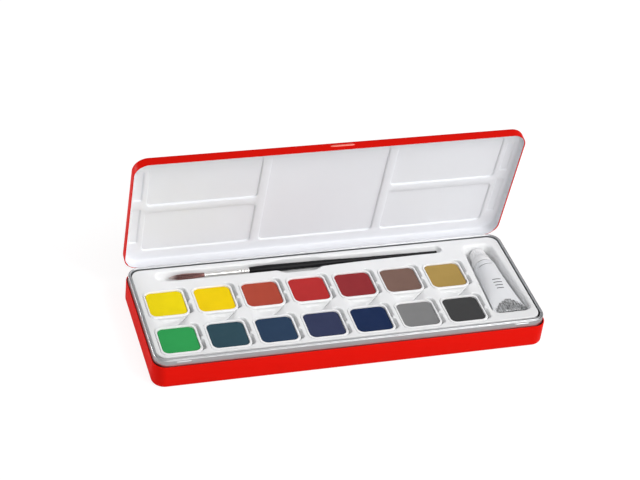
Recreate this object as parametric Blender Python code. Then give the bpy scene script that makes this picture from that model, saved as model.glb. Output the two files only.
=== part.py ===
"""Gouache paint set in a hinged flat tin: shell, neck frame, lid, tray, pans, brush and tube."""
import math

import bmesh
import bpy
from mathutils import Matrix, Vector

# Tin, outside sizes in metres
TIN_LENGTH = 0.260
TIN_DEPTH = 0.096
TIN_CORNER = 0.010
WALL_HEIGHT = 0.0163
SHEET = 0.0005
FOOT_ROUND = 0.0022
FIT_GAP = 0.0003
WALL_LIP = 0.00075

# Neck frame
NECK_RISE = 0.0047
NECK_HEIGHT = WALL_HEIGHT + NECK_RISE
NECK_INSET = 0.00105
NECK_RIM = 0.0014
DIMPLE_FROM_END = 0.0185
DIMPLE_AT = TIN_LENGTH / 2 - DIMPLE_FROM_END
DIMPLE_LENGTH = 0.0095
DIMPLE_HEIGHT = 0.0019
DIMPLE_RISE = 0.00025
DIMPLE_BELOW_RIM = 0.0020
DIMPLE_Z = NECK_HEIGHT - DIMPLE_BELOW_RIM

# Lid
LID_HEADROOM = 0.0023
LID_SKIRT = NECK_RISE + LID_HEADROOM
LID_ROUND = 0.0014
LID_OPEN_DEGREES = 79
WELL_DEPTH = 0.0012
WELL_SLOPE = 0.0010
WELL_CORNER = 0.0035
WELL_EDGE_SHARES = ((0, 0), (0.4, 0.3), (1, 1))
HINGE_BAND = 0.0083
FRONT_BAND = 0.0075
WELL_FRONT = TIN_DEPTH - FRONT_BAND
WELL_SPLIT_SHARE = 0.499
WELL_SPLIT_RIDGE = 0.0052
WELL_SPLIT_LOW = TIN_DEPTH * WELL_SPLIT_SHARE - WELL_SPLIT_RIDGE / 2
WELL_SPLIT_HIGH = WELL_SPLIT_LOW + WELL_SPLIT_RIDGE
STRIP_MARGIN = 0.0018
STRIP_WIDTH = 0.0077
STRIP_OUTER = TIN_LENGTH / 2 - STRIP_MARGIN
STRIP_INNER = STRIP_OUTER - STRIP_WIDTH
STRIP_DEPTH = 0.0006
STRIP_CORNER = 0.0015
STRIP_END_SHARES = (0.172, 0.510, 0.583, 0.865)
STRIP_EDGE_SHARES = ((0, 0), (1, 1))
STRIP_RIDGE = 0.0020
SIDE_WELL_OUTER = STRIP_INNER - STRIP_RIDGE
CENTRE_WELL_SHARE = 0.1558
CENTRE_WELL_HALF = TIN_LENGTH * CENTRE_WELL_SHARE
WELL_DIVIDER = 0.0040
SIDE_WELL_INNER = CENTRE_WELL_HALF + WELL_DIVIDER
BEAD_AT_SHARE = 0.0163
BEAD_LENGTH = 0.0165
BEAD_RADIUS = 0.0008
BEAD_END_SHARES = ((0, 0.3), (0.6, 0.85), (2, 1))

# Hinge
PIN_RADIUS = 0.0007
KNUCKLE_INNER = 0.0010
KNUCKLE_OUTER = 0.0015
HINGE_OUT = 0.0018
HINGE_STATION_SHARE = 0.2885
HINGE_STATION = TIN_LENGTH * HINGE_STATION_SHARE
LID_KNUCKLE = 0.0080
BASE_KNUCKLE = 0.0050
PIN_OVERHANG = 0.0002
KNUCKLE_BITE = 0.00015

# Paint tray
TRAY_SHEET = 0.0006
TRAY_EDGE = NECK_INSET + NECK_RIM + FIT_GAP
TRAY_HALF_X = TIN_LENGTH / 2 - TRAY_EDGE
TRAY_HALF_Y = TIN_DEPTH / 2 - TRAY_EDGE
DECK_BELOW_RIM = 0.0009
TRAY_DECK = NECK_HEIGHT - DECK_BELOW_RIM
TRAY_ROUND = 0.0008

# Paint tube and its pocket, which set where the rows of pans end
TUBE_RADIUS = 0.0076
TUBE_FLAT_HALF = 0.0117
TUBE_FLAT_THICK = 0.0007
TUBE_POCKET_ROOM = 0.00165
TUBE_POCKET_MARGIN = 0.00365
TUBE_POCKET_FRONT_MARGIN = 0.00975
TUBE_POCKET_REAR_MARGIN = 0.00645
TUBE_POCKET_HALF = TUBE_FLAT_HALF + TUBE_POCKET_ROOM
TUBE_POCKET_MIDDLE = TRAY_HALF_X - TUBE_POCKET_MARGIN - TUBE_POCKET_HALF
TUBE_POCKET_LEFT = TUBE_POCKET_MIDDLE - TUBE_POCKET_HALF
TUBE_POCKET_FRONT = TUBE_POCKET_FRONT_MARGIN - TRAY_HALF_Y
TUBE_POCKET_REAR = TRAY_HALF_Y - TUBE_POCKET_REAR_MARGIN
TUBE_POCKET_WIDEN_SHARE = 0.135
TUBE_POCKET_SOFT = 0.0016
TUBE_POCKET_SLOPE = 0.0006
TUBE_POCKET_CORNER = 0.0060
TUBE_ASIDE = 0.0008
TUBE_BELOW_DECK = 0.0065
TUBE_X = TUBE_POCKET_MIDDLE + TUBE_ASIDE
TUBE_Z = TRAY_DECK - TUBE_BELOW_DECK
TUBE_CRIMP_LIFT = 0.0036
TUBE_CRIMP_Z = TUBE_Z + TUBE_CRIMP_LIFT
CAP_END_ROOM = 0.0036
CAP_LENGTH = 0.0140
CAP_Y = TUBE_POCKET_REAR - CAP_END_ROOM
CAP_BASE_Y = CAP_Y - CAP_LENGTH
CAP_STEP_SHARE = 0.45
CAP_RADIUS = 0.0069
CAP_STEP_RADIUS = 0.0063
CAP_UPPER_RADIUS = 0.0057
CAP_TOP_RADIUS = 0.0053
CAP_RIBS = 24
CAP_RIB = 0.0002
CAP_TOP_THICK = 0.0010
TUBE_SHOULDER = 0.0047
TUBE_SHOULDER_Y = CAP_BASE_Y - TUBE_SHOULDER
TUBE_ROUND_RUN = 0.0020
TUBE_ROUND_Y = TUBE_SHOULDER_Y - TUBE_ROUND_RUN
TUBE_CRIMP_ROOM = 0.0058
TUBE_CRIMP_Y = TUBE_POCKET_FRONT + TUBE_CRIMP_ROOM
TUBE_FOLD = 0.0060
TUBE_WIDEN_POWER = 1.2
TUBE_FLATTEN_POWER = 1.5
TUBE_NECK_RADIUS = 0.0031

# Pans in their rows
PAN_COLUMNS = 7
PAN_ROWS = 2
PAN_LEFT_MARGIN = 0.00357
PAN_FRONT_MARGIN = 0.00573
PAN_TO_TUBE = 0.00542
PAN_BETWEEN_X = 0.00506
PAN_BETWEEN_Y = 0.00935
PAN_TO_BRUSH = 0.01347
BRUSH_FROM_REAR = 0.00875
BRUSH_Y = TRAY_HALF_Y - BRUSH_FROM_REAR
PAN_SPAN_X = TUBE_POCKET_LEFT - PAN_TO_TUBE + TRAY_HALF_X - PAN_LEFT_MARGIN
PAN_SPAN_Y = BRUSH_Y - PAN_TO_BRUSH + TRAY_HALF_Y - PAN_FRONT_MARGIN
PAN_PITCH_X = (PAN_SPAN_X + PAN_BETWEEN_X) / PAN_COLUMNS
PAN_PITCH_Y = (PAN_SPAN_Y + PAN_BETWEEN_Y) / PAN_ROWS
POCKET_SOFT = 0.0006
POCKET_DROP = 0.0012
POCKET_DEPTH = 0.0111
POCKET_FLOOR = TRAY_DECK - POCKET_DEPTH
RECESS_WIDTH = 0.0016
RECESS_DEPTH = 0.0061
RECESS_FLOOR = TRAY_DECK - RECESS_DEPTH
RECESS_SHARES = ((-0.75, 1), (-0.3, 1), (-0.1, 0.3), (0.1, 0.3), (0.3, 1), (0.8, 1))

# Pan cups and cakes
CUP_HALF_X = (PAN_PITCH_X - PAN_BETWEEN_X) / 2
CUP_HALF_Y = (PAN_PITCH_Y - PAN_BETWEEN_Y) / 2
CUP_CORNER = 0.0038
CUP_WALL = 0.00145
CUP_TAPER = 0.0005
CUP_PROUD = 0.0004
CUP_TOP = TRAY_DECK + CUP_PROUD
CUP_ROUND = 0.0003
CUP_FLOOR = 0.0011
CUP_FOOT = 0.0008
PAN_FIRST_X = PAN_LEFT_MARGIN + CUP_HALF_X - TRAY_HALF_X
PAN_FRONT_Y = PAN_FRONT_MARGIN + CUP_HALF_Y - TRAY_HALF_Y
CAKE_HALF_X = CUP_HALF_X - CUP_WALL
CAKE_HALF_Y = CUP_HALF_Y - CUP_WALL
CAKE_CORNER = 0.0030
CAKE_BELOW_CUP = 0.0021
CAKE_TOP = CUP_TOP - CAKE_BELOW_CUP
CAKE_EDGE = 0.0004
CAKE_TAPER = 0.0004

# Brush and its groove
GROOVE_LEFT_MARGIN = 0.01525
GROOVE_TO_TUBE = 0.0121
GROOVE_LEFT_X = GROOVE_LEFT_MARGIN - TRAY_HALF_X
GROOVE_RIGHT_X = TUBE_POCKET_LEFT - GROOVE_TO_TUBE
GROOVE_LENGTH = GROOVE_RIGHT_X - GROOVE_LEFT_X
GROOVE_FRONT = 0.0052
GROOVE_REAR = 0.0042
GROOVE_NARROWING = 0.0019
GROOVE_TAPER_SHARES = ((0.18, 0.37), (0.42, 0.68), (0.68, 0.87))
SCOOP_CENTRE_SHARE = 0.488
SCOOP_LENGTH = 0.0308
SCOOP_FRONT = 0.0085
SCOOP_REAR = 0.0059
SCOOP_RUN_SHARE = 0.2
SCOOP_EASE_SHARE = 0.45
SCOOP_FLAT_SHARE = 1.2
BRUSH_BELOW_DECK = 0.0022
BRUSH_Z = TRAY_DECK - BRUSH_BELOW_DECK
HAIR_TIP_ROOM = 0.0085
HAIR_LENGTH = 0.0242
HAIR_TIP_X = GROOVE_LEFT_X + HAIR_TIP_ROOM
HAIR_ROOT_X = HAIR_TIP_X + HAIR_LENGTH
HAIR_RADIUS = 0.00135
HAIR_BELLY = 0.00195
HAIR_BELLY_SHARE = 0.55
HAIR_TIP_SHARE = 0.16
HAIR_COUNT = 300
HAIR_WIDTH = 0.00010
HAIR_STAGGER = 0.20
FERRULE_LENGTH = 0.0300
FERRULE_END_X = HAIR_ROOT_X + FERRULE_LENGTH
FERRULE_MOUTH = 0.0018
FERRULE_BACK = 0.0021
FERRULE_SHEET = 0.0002
CRIMP_FROM_END = 0.0058
CRIMP_X = FERRULE_END_X - CRIMP_FROM_END
CRIMP_PITCH = 0.0021
CRIMP_DEPTH = 0.00018
CRIMP_WIDTH_SHARE = 0.35
HANDLE_END_ROOM = 0.0027
HANDLE_END_X = GROOVE_RIGHT_X - HANDLE_END_ROOM
HANDLE_BELLY = 0.0133
HANDLE_WIDEST_X = FERRULE_END_X + HANDLE_BELLY
HANDLE_NECK = 0.0019
HANDLE_WIDEST = 0.0026
HANDLE_SWELL_SHARES = ((0.35, 0.55), (0.75, 0.93))
HANDLE_TAPER_SHARES = (
    (0.152, 0.904),
    (0.339, 0.808),
    (0.427, 0.692),
    (0.517, 0.577),
    (0.686, 0.5),
    (0.864, 0.404),
)
HANDLE_TAIL = 0.0009
HANDLE_TAIL_SHARES = ((0.3, 0.7), (0, 0.25))

CORNER_STEPS = 6
POCKET_STEPS = 3
ROUND_STEPS = 24


def clear_scene():
    for item in list(bpy.data.objects):
        bpy.data.objects.remove(item, do_unlink=True)


def material(name, colour, roughness, metallic=0.0):
    made = bpy.data.materials.new(name)
    made.use_nodes = True
    shader = made.node_tree.nodes["Principled BSDF"]
    shader.inputs["Base Color"].default_value = (*colour, 1.0)
    shader.inputs["Roughness"].default_value = roughness
    shader.inputs["Metallic"].default_value = metallic
    made.diffuse_color = (*colour, 1.0)
    return made


def new_object(name, shape, look):
    mesh = bpy.data.meshes.new(name)
    shape.to_mesh(mesh)
    shape.free()
    made = bpy.data.objects.new(name, mesh)
    made.data.materials.append(look)
    bpy.context.scene.collection.objects.link(made)
    return made


def solid_object(name, shape, look):
    bmesh.ops.recalc_face_normals(shape, faces=shape.faces)
    return new_object(name, shape, look)


def rounded_loop(x_range, y_range, corner, steps, z):
    """Anticlockwise points of a rounded rectangle seen from above."""
    points = []
    centres = (
        (x_range[1] - corner, y_range[1] - corner),
        (x_range[0] + corner, y_range[1] - corner),
        (x_range[0] + corner, y_range[0] + corner),
        (x_range[1] - corner, y_range[0] + corner),
    )
    for quarter, (centre_x, centre_y) in enumerate(centres):
        for step in range(steps + 1):
            angle = math.pi / 2 * (quarter + step / steps)
            points.append(
                Vector((centre_x + corner * math.cos(angle), centre_y + corner * math.sin(angle), z))
            )
    return points


def tin_loop(inset, z):
    return rounded_loop(
        (inset - TIN_LENGTH / 2, TIN_LENGTH / 2 - inset),
        (inset - TIN_DEPTH / 2, TIN_DEPTH / 2 - inset),
        TIN_CORNER - inset,
        CORNER_STEPS,
        z,
    )


def add_loop(shape, points):
    return [shape.verts.new(point) for point in points]


def join_loops(shape, lower, upper):
    """Quads between two loops of equal count, facing outward when the second lies above the first."""
    count = len(lower)
    for index in range(count):
        following = (index + 1) % count
        shape.faces.new((lower[index], lower[following], upper[following], upper[index]))


def stack_loops(shape, loops):
    """Joins loops in turn; returns the first and last as rows of vertices."""
    rows = [add_loop(shape, points) for points in loops]
    for lower, upper in zip(rows, rows[1:]):
        join_loops(shape, lower, upper)
    return rows[0], rows[-1]


def closed_stack(name, loops, look):
    """Solid of stacked loops with a flat face at each end."""
    shape = bmesh.new()
    first, last = stack_loops(shape, loops)
    shape.faces.new(list(reversed(first)))
    shape.faces.new(last)
    return solid_object(name, shape, look)


def ring_stack(name, loops, look):
    """Solid of stacked loops whose last loop joins the first, leaving a hole through it."""
    shape = bmesh.new()
    rows = [add_loop(shape, points) for points in loops]
    for lower, upper in zip(rows, rows[1:] + rows[:1]):
        join_loops(shape, lower, upper)
    return solid_object(name, shape, look)


def fill_between(shape, rows, facing=(0, 0, 1)):
    """Fills the flat area bounded by rows of vertices, the first outside and the rest holes."""
    edges = []
    for row in rows:
        for index, vertex in enumerate(row):
            following = row[(index + 1) % len(row)]
            edge = shape.edges.get((vertex, following))
            edges.append(edge or shape.edges.new((vertex, following)))
    bmesh.ops.triangle_fill(shape, edges=edges, use_beauty=True, use_dissolve=False, normal=facing)


def face_upward(shape):
    """Turns a formed sheet's faces so that its flat areas look up."""
    bmesh.ops.recalc_face_normals(shape, faces=shape.faces)
    if sum(face.normal.z * face.calc_area() for face in shape.faces) < 0:
        bmesh.ops.reverse_faces(shape, faces=shape.faces)


def thicken(made, thickness, offset):
    """Gives an open surface its sheet thickness."""
    sheet = made.modifiers.new("sheet", "SOLIDIFY")
    sheet.thickness = thickness
    sheet.offset = offset
    sheet.use_even_offset = True
    sheet.use_quality_normals = True


def boolean(made, tool, operation):
    step = made.modifiers.new(tool.name, "BOOLEAN")
    step.operation = operation
    step.solver = "EXACT"
    step.object = tool
    tool.hide_render = True
    tool.display_type = "WIRE"


def apply_modifiers(made):
    """Keeps the finished mesh and drops its modifiers and tools."""
    graph = bpy.context.evaluated_depsgraph_get()
    finished = bpy.data.meshes.new_from_object(made.evaluated_get(graph))
    tools = [step.object for step in made.modifiers if step.type == "BOOLEAN"]
    made.modifiers.clear()
    made.data = finished
    for tool in tools:
        bpy.data.objects.remove(tool, do_unlink=True)


def smooth(made, degrees=35):
    made.data.shade_smooth()
    made.data.set_sharp_from_angle(angle=math.radians(degrees))


def circle_x(x, radius, steps, y=0.0, z=0.0):
    """Points of a circle round a line along X, for loops stacked toward +X."""
    points = []
    for step in range(steps):
        angle = math.tau * step / steps
        points.append(Vector((x, y + radius * math.cos(angle), z + radius * math.sin(angle))))
    return points


# Hinge knuckles


def hinge_line():
    return Vector((0, TIN_DEPTH / 2 + HINGE_OUT, WALL_HEIGHT + FIT_GAP / 2))


def knuckle(name, centre_x, length, over):
    """Strip that leaves the wall and curls round the pin, from below, or from above for the lid."""
    line = hinge_line()
    side = 1 if over else -1
    curl_steps = 9
    curl = math.radians(165)
    root = -(HINGE_OUT + SHEET - KNUCKLE_BITE)
    outline = [(root, side * KNUCKLE_OUTER)]
    for step in range(curl_steps + 1):
        angle = math.pi / 2 - curl * step / curl_steps
        outline.append((KNUCKLE_OUTER * math.cos(angle), side * KNUCKLE_OUTER * math.sin(angle)))
    for step in range(curl_steps + 1):
        angle = math.pi / 2 - curl + curl * step / curl_steps
        outline.append((KNUCKLE_INNER * math.cos(angle), side * KNUCKLE_INNER * math.sin(angle)))
    outline.append((root, side * KNUCKLE_INNER))
    shape = bmesh.new()
    rows = []
    for x in (centre_x - length / 2, centre_x + length / 2):
        rows.append(add_loop(shape, [Vector((x, line.y + y, line.z + z)) for y, z in outline]))
    join_loops(shape, rows[0], rows[1])
    shape.faces.new(list(reversed(rows[0])))
    shape.faces.new(rows[1])
    return solid_object(name, shape, bpy.data.materials["red_enamel"])


def hinge_centres():
    return (-HINGE_STATION, HINGE_STATION)


def base_knuckle_offset():
    return LID_KNUCKLE / 2 + FIT_GAP + BASE_KNUCKLE / 2


def hinge_pin(name, centre_x, look):
    line = hinge_line()
    half = base_knuckle_offset() + BASE_KNUCKLE / 2 + PIN_OVERHANG
    loops = [circle_x(centre_x + x, PIN_RADIUS, ROUND_STEPS // 2, line.y, line.z) for x in (-half, half)]
    made = closed_stack(name, loops, look)
    smooth(made)
    return made


# Base shell


def base_shell(look):
    floor = SHEET
    round_share = 1 - math.sqrt(0.5)
    outer = FOOT_ROUND
    inner = FOOT_ROUND - SHEET
    lip_drop = SHEET / 2
    loops = [
        tin_loop(outer, 0),
        tin_loop(outer * round_share, outer * round_share),
        tin_loop(0, outer),
        tin_loop(0, WALL_HEIGHT - lip_drop),
        tin_loop(lip_drop, WALL_HEIGHT),
        tin_loop(WALL_LIP, WALL_HEIGHT),
        tin_loop(WALL_LIP, WALL_HEIGHT - SHEET),
        tin_loop(SHEET, WALL_HEIGHT - SHEET - lip_drop),
        tin_loop(SHEET, floor + inner),
        tin_loop(SHEET + inner * round_share, floor + inner * round_share),
        tin_loop(SHEET + inner, floor),
    ]
    made = closed_stack("base_shell", loops, look)
    for centre_x in hinge_centres():
        for side in (-1, 1):
            x = centre_x + side * base_knuckle_offset()
            tool = knuckle("base_knuckle", x, BASE_KNUCKLE, False)
            boolean(made, tool, "UNION")
    apply_modifiers(made)
    smooth(made)
    return made


# Neck frame


def neck_loops():
    foot = FOOT_ROUND + FIT_GAP
    inner = NECK_INSET + SHEET
    rim = NECK_RIM
    half = rim / 2
    share = 1 - math.sqrt(0.5)
    return [
        tin_loop(NECK_INSET, foot),
        tin_loop(NECK_INSET, NECK_HEIGHT - half),
        tin_loop(NECK_INSET + half * share, NECK_HEIGHT - half * share),
        tin_loop(NECK_INSET + half, NECK_HEIGHT),
        tin_loop(NECK_INSET + rim - half * share, NECK_HEIGHT - half * share),
        tin_loop(NECK_INSET + rim, NECK_HEIGHT - half),
        tin_loop(NECK_INSET + rim - SHEET * share, NECK_HEIGHT - half - SHEET),
        tin_loop(inner, NECK_HEIGHT - half - SHEET * 2),
        tin_loop(inner, foot),
    ]


def dimple(name, centre_x):
    """Flat-sided bump on the neck, tapered to its front face."""
    front = NECK_INSET - TIN_DEPTH / 2
    half_x = DIMPLE_LENGTH / 2
    half_z = DIMPLE_HEIGHT / 2
    shape = bmesh.new()
    rows = []
    for y, shrink in ((front + SHEET / 2, 0), (front, 0), (front - DIMPLE_RISE, DIMPLE_RISE * 2)):
        corners = ((-1, -1), (-1, 1), (1, 1), (1, -1))
        points = []
        for x, z in corners:
            points.append(Vector((centre_x + x * (half_x - shrink), y, DIMPLE_Z + z * (half_z - shrink))))
        rows.append(add_loop(shape, points))
    for lower, upper in zip(rows, rows[1:]):
        join_loops(shape, lower, upper)
    shape.faces.new(list(reversed(rows[0])))
    shape.faces.new(rows[-1])
    return solid_object(name, shape, bpy.data.materials["bare_tinplate"])


def neck_frame(look):
    made = ring_stack("neck_frame", neck_loops(), look)
    for side in (-1, 1):
        boolean(made, dimple("snap_dimple", side * DIMPLE_AT), "UNION")
    apply_modifiers(made)
    smooth(made)
    return made


# Paint tray


def pan_centres():
    for row in range(PAN_ROWS):
        for column in range(PAN_COLUMNS):
            from_front = PAN_ROWS - 1 - row
            yield PAN_FIRST_X + column * PAN_PITCH_X, PAN_FRONT_Y + from_front * PAN_PITCH_Y


def pocket_loop(centre, grow, z, recess):
    """Loop round a pan, let out on its right side by a finger recess with a nub halfway."""
    half_x = CUP_HALF_X + FIT_GAP + grow
    half_y = CUP_HALF_Y + FIT_GAP + grow
    corner = CUP_CORNER + grow
    flat = half_y - corner
    points = rounded_loop((-half_x, half_x), (-half_y, half_y), corner, POCKET_STEPS, z)
    right = [Vector((half_x + recess * out, flat * share, z)) for share, out in RECESS_SHARES]
    return [point + Vector((centre[0], centre[1], 0)) for point in points + right]


def pan_pocket(shape, centre):
    """Pocket wall and floor below the deck; returns its mouth."""
    soft = POCKET_SOFT
    loops = [
        pocket_loop(centre, soft, TRAY_DECK, RECESS_WIDTH),
        pocket_loop(centre, soft / 4, TRAY_DECK - POCKET_DROP / 2, RECESS_WIDTH),
        pocket_loop(centre, 0, RECESS_FLOOR, RECESS_WIDTH / 2),
        pocket_loop(centre, -CUP_TAPER, POCKET_FLOOR, 0),
    ]
    mouth, floor = stack_loops(shape, loops)
    shape.faces.new(floor)
    return mouth


def groove_outline(grow):
    """Brush groove with round ends, narrower toward the tail, and a finger scoop across it."""
    steps = 6
    rear_y = BRUSH_Y + GROOVE_REAR + grow
    front_y = BRUSH_Y - GROOVE_FRONT - grow
    tail_y = front_y + GROOVE_NARROWING
    left_half = (rear_y - front_y) / 2
    right_half = (rear_y - tail_y) / 2
    right = GROOVE_RIGHT_X + grow - right_half
    left = GROOVE_LEFT_X - grow + left_half
    scoop_middle = GROOVE_LEFT_X + GROOVE_LENGTH * SCOOP_CENTRE_SHARE
    scoop_left = scoop_middle - SCOOP_LENGTH / 2
    scoop_right = scoop_middle + SCOOP_LENGTH / 2
    scoop_run = SCOOP_LENGTH * SCOOP_RUN_SHARE
    scoop_rear = BRUSH_Y + SCOOP_REAR + grow
    scoop_front = BRUSH_Y - SCOOP_FRONT - grow
    eased_y = front_y + (scoop_front - front_y) * SCOOP_EASE_SHARE
    points = []
    for step in range(steps + 1):
        angle = math.pi * step / steps - math.pi / 2
        points.append((right + right_half * math.cos(angle), tail_y + right_half * (1 + math.sin(angle))))
    points.append((scoop_right, rear_y))
    points.append((scoop_right - scoop_run, scoop_rear))
    points.append((scoop_left + scoop_run, scoop_rear))
    points.append((scoop_left, rear_y))
    for step in range(steps + 1):
        angle = math.pi / 2 + math.pi * step / steps
        points.append((left + left_half * math.cos(angle), front_y + left_half * (1 + math.sin(angle))))
    points.append((scoop_left, front_y))
    points.append((scoop_left + scoop_run / 2, eased_y))
    points.append((scoop_left + scoop_run * SCOOP_FLAT_SHARE, scoop_front))
    points.append((scoop_right - scoop_run * SCOOP_FLAT_SHARE, scoop_front))
    points.append((scoop_right - scoop_run / 2, eased_y))
    points.append((scoop_right, front_y))
    for along, narrowed in GROOVE_TAPER_SHARES:
        points.append((scoop_right + (right - scoop_right) * along, front_y + GROOVE_NARROWING * narrowed))
    return points


def brush_groove(shape):
    floor_z = BRUSH_Z - HANDLE_WIDEST - FIT_GAP
    loops = []
    for grow, z in (
        (0, TRAY_DECK),
        (-TRAY_SHEET / 2, TRAY_DECK - TRAY_SHEET / 2),
        (-TRAY_SHEET, TRAY_DECK - TRAY_SHEET * 2),
        (-TRAY_SHEET * 2, floor_z + TRAY_SHEET),
        (-TRAY_SHEET * 3, floor_z),
    ):
        loops.append([Vector((x, y, z)) for x, y in groove_outline(grow)])
    mouth, floor = stack_loops(shape, loops)
    fill_between(shape, [floor])
    return mouth


def tube_pocket(shape):
    floor_z = TUBE_Z - TUBE_RADIUS - FIT_GAP
    soft = TUBE_POCKET_SOFT
    share = 1 - math.sqrt(0.5)
    middle_x = TUBE_POCKET_MIDDLE
    middle_y = (TUBE_POCKET_FRONT + TUBE_POCKET_REAR) / 2
    half_y = (TUBE_POCKET_REAR - TUBE_POCKET_FRONT) / 2
    loops = []
    for inset, z in (
        (0, TRAY_DECK),
        (soft * (1 - share), TRAY_DECK - soft * share),
        (soft, TRAY_DECK - soft),
        (soft + TUBE_POCKET_SLOPE, floor_z + soft / 2),
        (soft * 1.5 + TUBE_POCKET_SLOPE, floor_z),
    ):
        x_range = (TUBE_POCKET_LEFT + inset, middle_x + TUBE_POCKET_HALF - inset)
        y_range = (TUBE_POCKET_FRONT + inset, TUBE_POCKET_REAR - inset)
        loop = rounded_loop(x_range, y_range, TUBE_POCKET_CORNER - inset, POCKET_STEPS + 1, z)
        for point in loop:
            widen = 1 + TUBE_POCKET_WIDEN_SHARE * (middle_y - point.y) / half_y
            point.x = middle_x + (point.x - middle_x) * widen
        loops.append(loop)
    mouth, floor = stack_loops(shape, loops)
    shape.faces.new(floor)
    return mouth


def paint_tray(look):
    """One formed sheet: skirt to the floor, deck, and the pockets pressed into it."""
    shape = bmesh.new()
    edge = TRAY_EDGE
    share = 1 - math.sqrt(0.5)
    skirt_loops = [
        tin_loop(edge, SHEET * 2 + FIT_GAP),
        tin_loop(edge, TRAY_DECK - TRAY_ROUND),
        tin_loop(edge + TRAY_ROUND * share, TRAY_DECK - TRAY_ROUND * share),
        tin_loop(edge + TRAY_ROUND, TRAY_DECK),
    ]
    rim = stack_loops(shape, skirt_loops)[1]
    rows = [rim]
    for centre in pan_centres():
        rows.append(pan_pocket(shape, centre))
    rows.append(brush_groove(shape))
    rows.append(tube_pocket(shape))
    fill_between(shape, rows)
    face_upward(shape)
    made = new_object("paint_tray", shape, look)
    thicken(made, TRAY_SHEET, -1)
    apply_modifiers(made)
    smooth(made, 50)
    return made


# Pan cups and paint cakes


def cup_loop(centre, half_x, half_y, corner, z):
    x_range = (centre[0] - half_x, centre[0] + half_x)
    y_range = (centre[1] - half_y, centre[1] + half_y)
    return rounded_loop(x_range, y_range, corner, POCKET_STEPS, z)


def cup_loops(centre):
    def outer(inset, z):
        return cup_loop(centre, CUP_HALF_X - inset, CUP_HALF_Y - inset, CUP_CORNER - inset, z)

    def inner(inset, z):
        half_x = CAKE_HALF_X + FIT_GAP - inset
        half_y = CAKE_HALF_Y + FIT_GAP - inset
        return cup_loop(centre, half_x, half_y, CAKE_CORNER + FIT_GAP - inset, z)

    bottom = POCKET_FLOOR + FIT_GAP
    return [
        outer(CUP_TAPER + CUP_FOOT, bottom),
        outer(CUP_TAPER, bottom + CUP_FOOT),
        outer(0, CUP_TOP - CUP_ROUND),
        outer(CUP_ROUND, CUP_TOP),
        inner(-CUP_ROUND, CUP_TOP),
        inner(0, CUP_TOP - CUP_ROUND),
        inner(CAKE_TAPER, bottom + CUP_FLOOR),
    ]


def pan_cup(name, centre, look):
    made = closed_stack(name, cup_loops(centre), look)
    smooth(made)
    return made


def paint_cake(name, centre, look):
    bottom = POCKET_FLOOR + CUP_FLOOR + FIT_GAP * 2
    edge = CAKE_EDGE
    taper = CAKE_TAPER
    loops = [
        cup_loop(centre, CAKE_HALF_X - taper, CAKE_HALF_Y - taper, CAKE_CORNER - taper, bottom),
        cup_loop(centre, CAKE_HALF_X, CAKE_HALF_Y, CAKE_CORNER, CAKE_TOP - edge),
        cup_loop(centre, CAKE_HALF_X - edge, CAKE_HALF_Y - edge, CAKE_CORNER - edge, CAKE_TOP),
    ]
    made = closed_stack(name, loops, look)
    smooth(made)
    return made


# Brush


def spindle(name, stations, look, steps=ROUND_STEPS):
    """Round body along X from stations of place and radius."""
    loops = [circle_x(x, radius, steps, BRUSH_Y, BRUSH_Z) for x, radius in stations]
    made = closed_stack(name, loops, look)
    smooth(made)
    return made


def brush_ferrule(look):
    """Thin metal sleeve with two crimp rings; open at both ends."""
    def wall(x):
        share = (x - HAIR_ROOT_X) / (FERRULE_END_X - HAIR_ROOT_X)
        return FERRULE_MOUTH + (FERRULE_BACK - FERRULE_MOUTH) * share

    places = [(HAIR_ROOT_X, 0)]
    for ring in range(2):
        middle = CRIMP_X + ring * CRIMP_PITCH
        for step, depth in ((-CRIMP_WIDTH_SHARE, 0), (0, CRIMP_DEPTH), (CRIMP_WIDTH_SHARE, 0)):
            places.append((middle + step * CRIMP_PITCH, depth))
    places.append((FERRULE_END_X, 0))
    outer = [(x, wall(x) - depth) for x, depth in places]
    inner = [(x, wall(x) - depth - FERRULE_SHEET) for x, depth in reversed(places)]
    loops = [circle_x(x, radius, ROUND_STEPS - 6, BRUSH_Y, BRUSH_Z) for x, radius in outer + inner]
    made = ring_stack("brush_ferrule", loops, look)
    smooth(made)
    return made


def brush_handle(look):
    """Turned wooden stick: plug inside the ferrule, belly, long taper and round tail."""
    plug = FERRULE_MOUTH - FERRULE_SHEET - CRIMP_DEPTH - FIT_GAP
    plug_start = CRIMP_X - CRIMP_PITCH * 2
    length = HANDLE_END_X - HANDLE_WIDEST_X
    swell = HANDLE_WIDEST_X - FERRULE_END_X
    shoulder = FERRULE_END_X + FIT_GAP
    stations = [
        (plug_start, plug - FERRULE_SHEET),
        (plug_start + FERRULE_SHEET, plug),
        (shoulder, plug),
        (shoulder, HANDLE_NECK + FERRULE_SHEET),
    ]
    for along, fullness in HANDLE_SWELL_SHARES:
        radius = HANDLE_NECK + (HANDLE_WIDEST - HANDLE_NECK) * fullness
        stations.append((shoulder + swell * along, radius))
    stations.append((HANDLE_WIDEST_X, HANDLE_WIDEST))
    for along, fullness in HANDLE_TAPER_SHARES:
        stations.append((HANDLE_WIDEST_X + length * along, HANDLE_WIDEST * fullness))
    stations.append((HANDLE_END_X - HANDLE_TAIL, HANDLE_TAIL))
    for back, fullness in HANDLE_TAIL_SHARES:
        stations.append((HANDLE_END_X - HANDLE_TAIL * back, HANDLE_TAIL * fullness))
    return spindle("brush_handle", stations, look, ROUND_STEPS // 2 + 4)


def hair_places():
    """Even spiral of strand roots over the ferrule mouth, as angle and share of its radius."""
    golden = math.pi * (3 - math.sqrt(5))
    for index in range(HAIR_COUNT):
        yield index * golden, math.sqrt((index + 0.5) / HAIR_COUNT)


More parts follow.
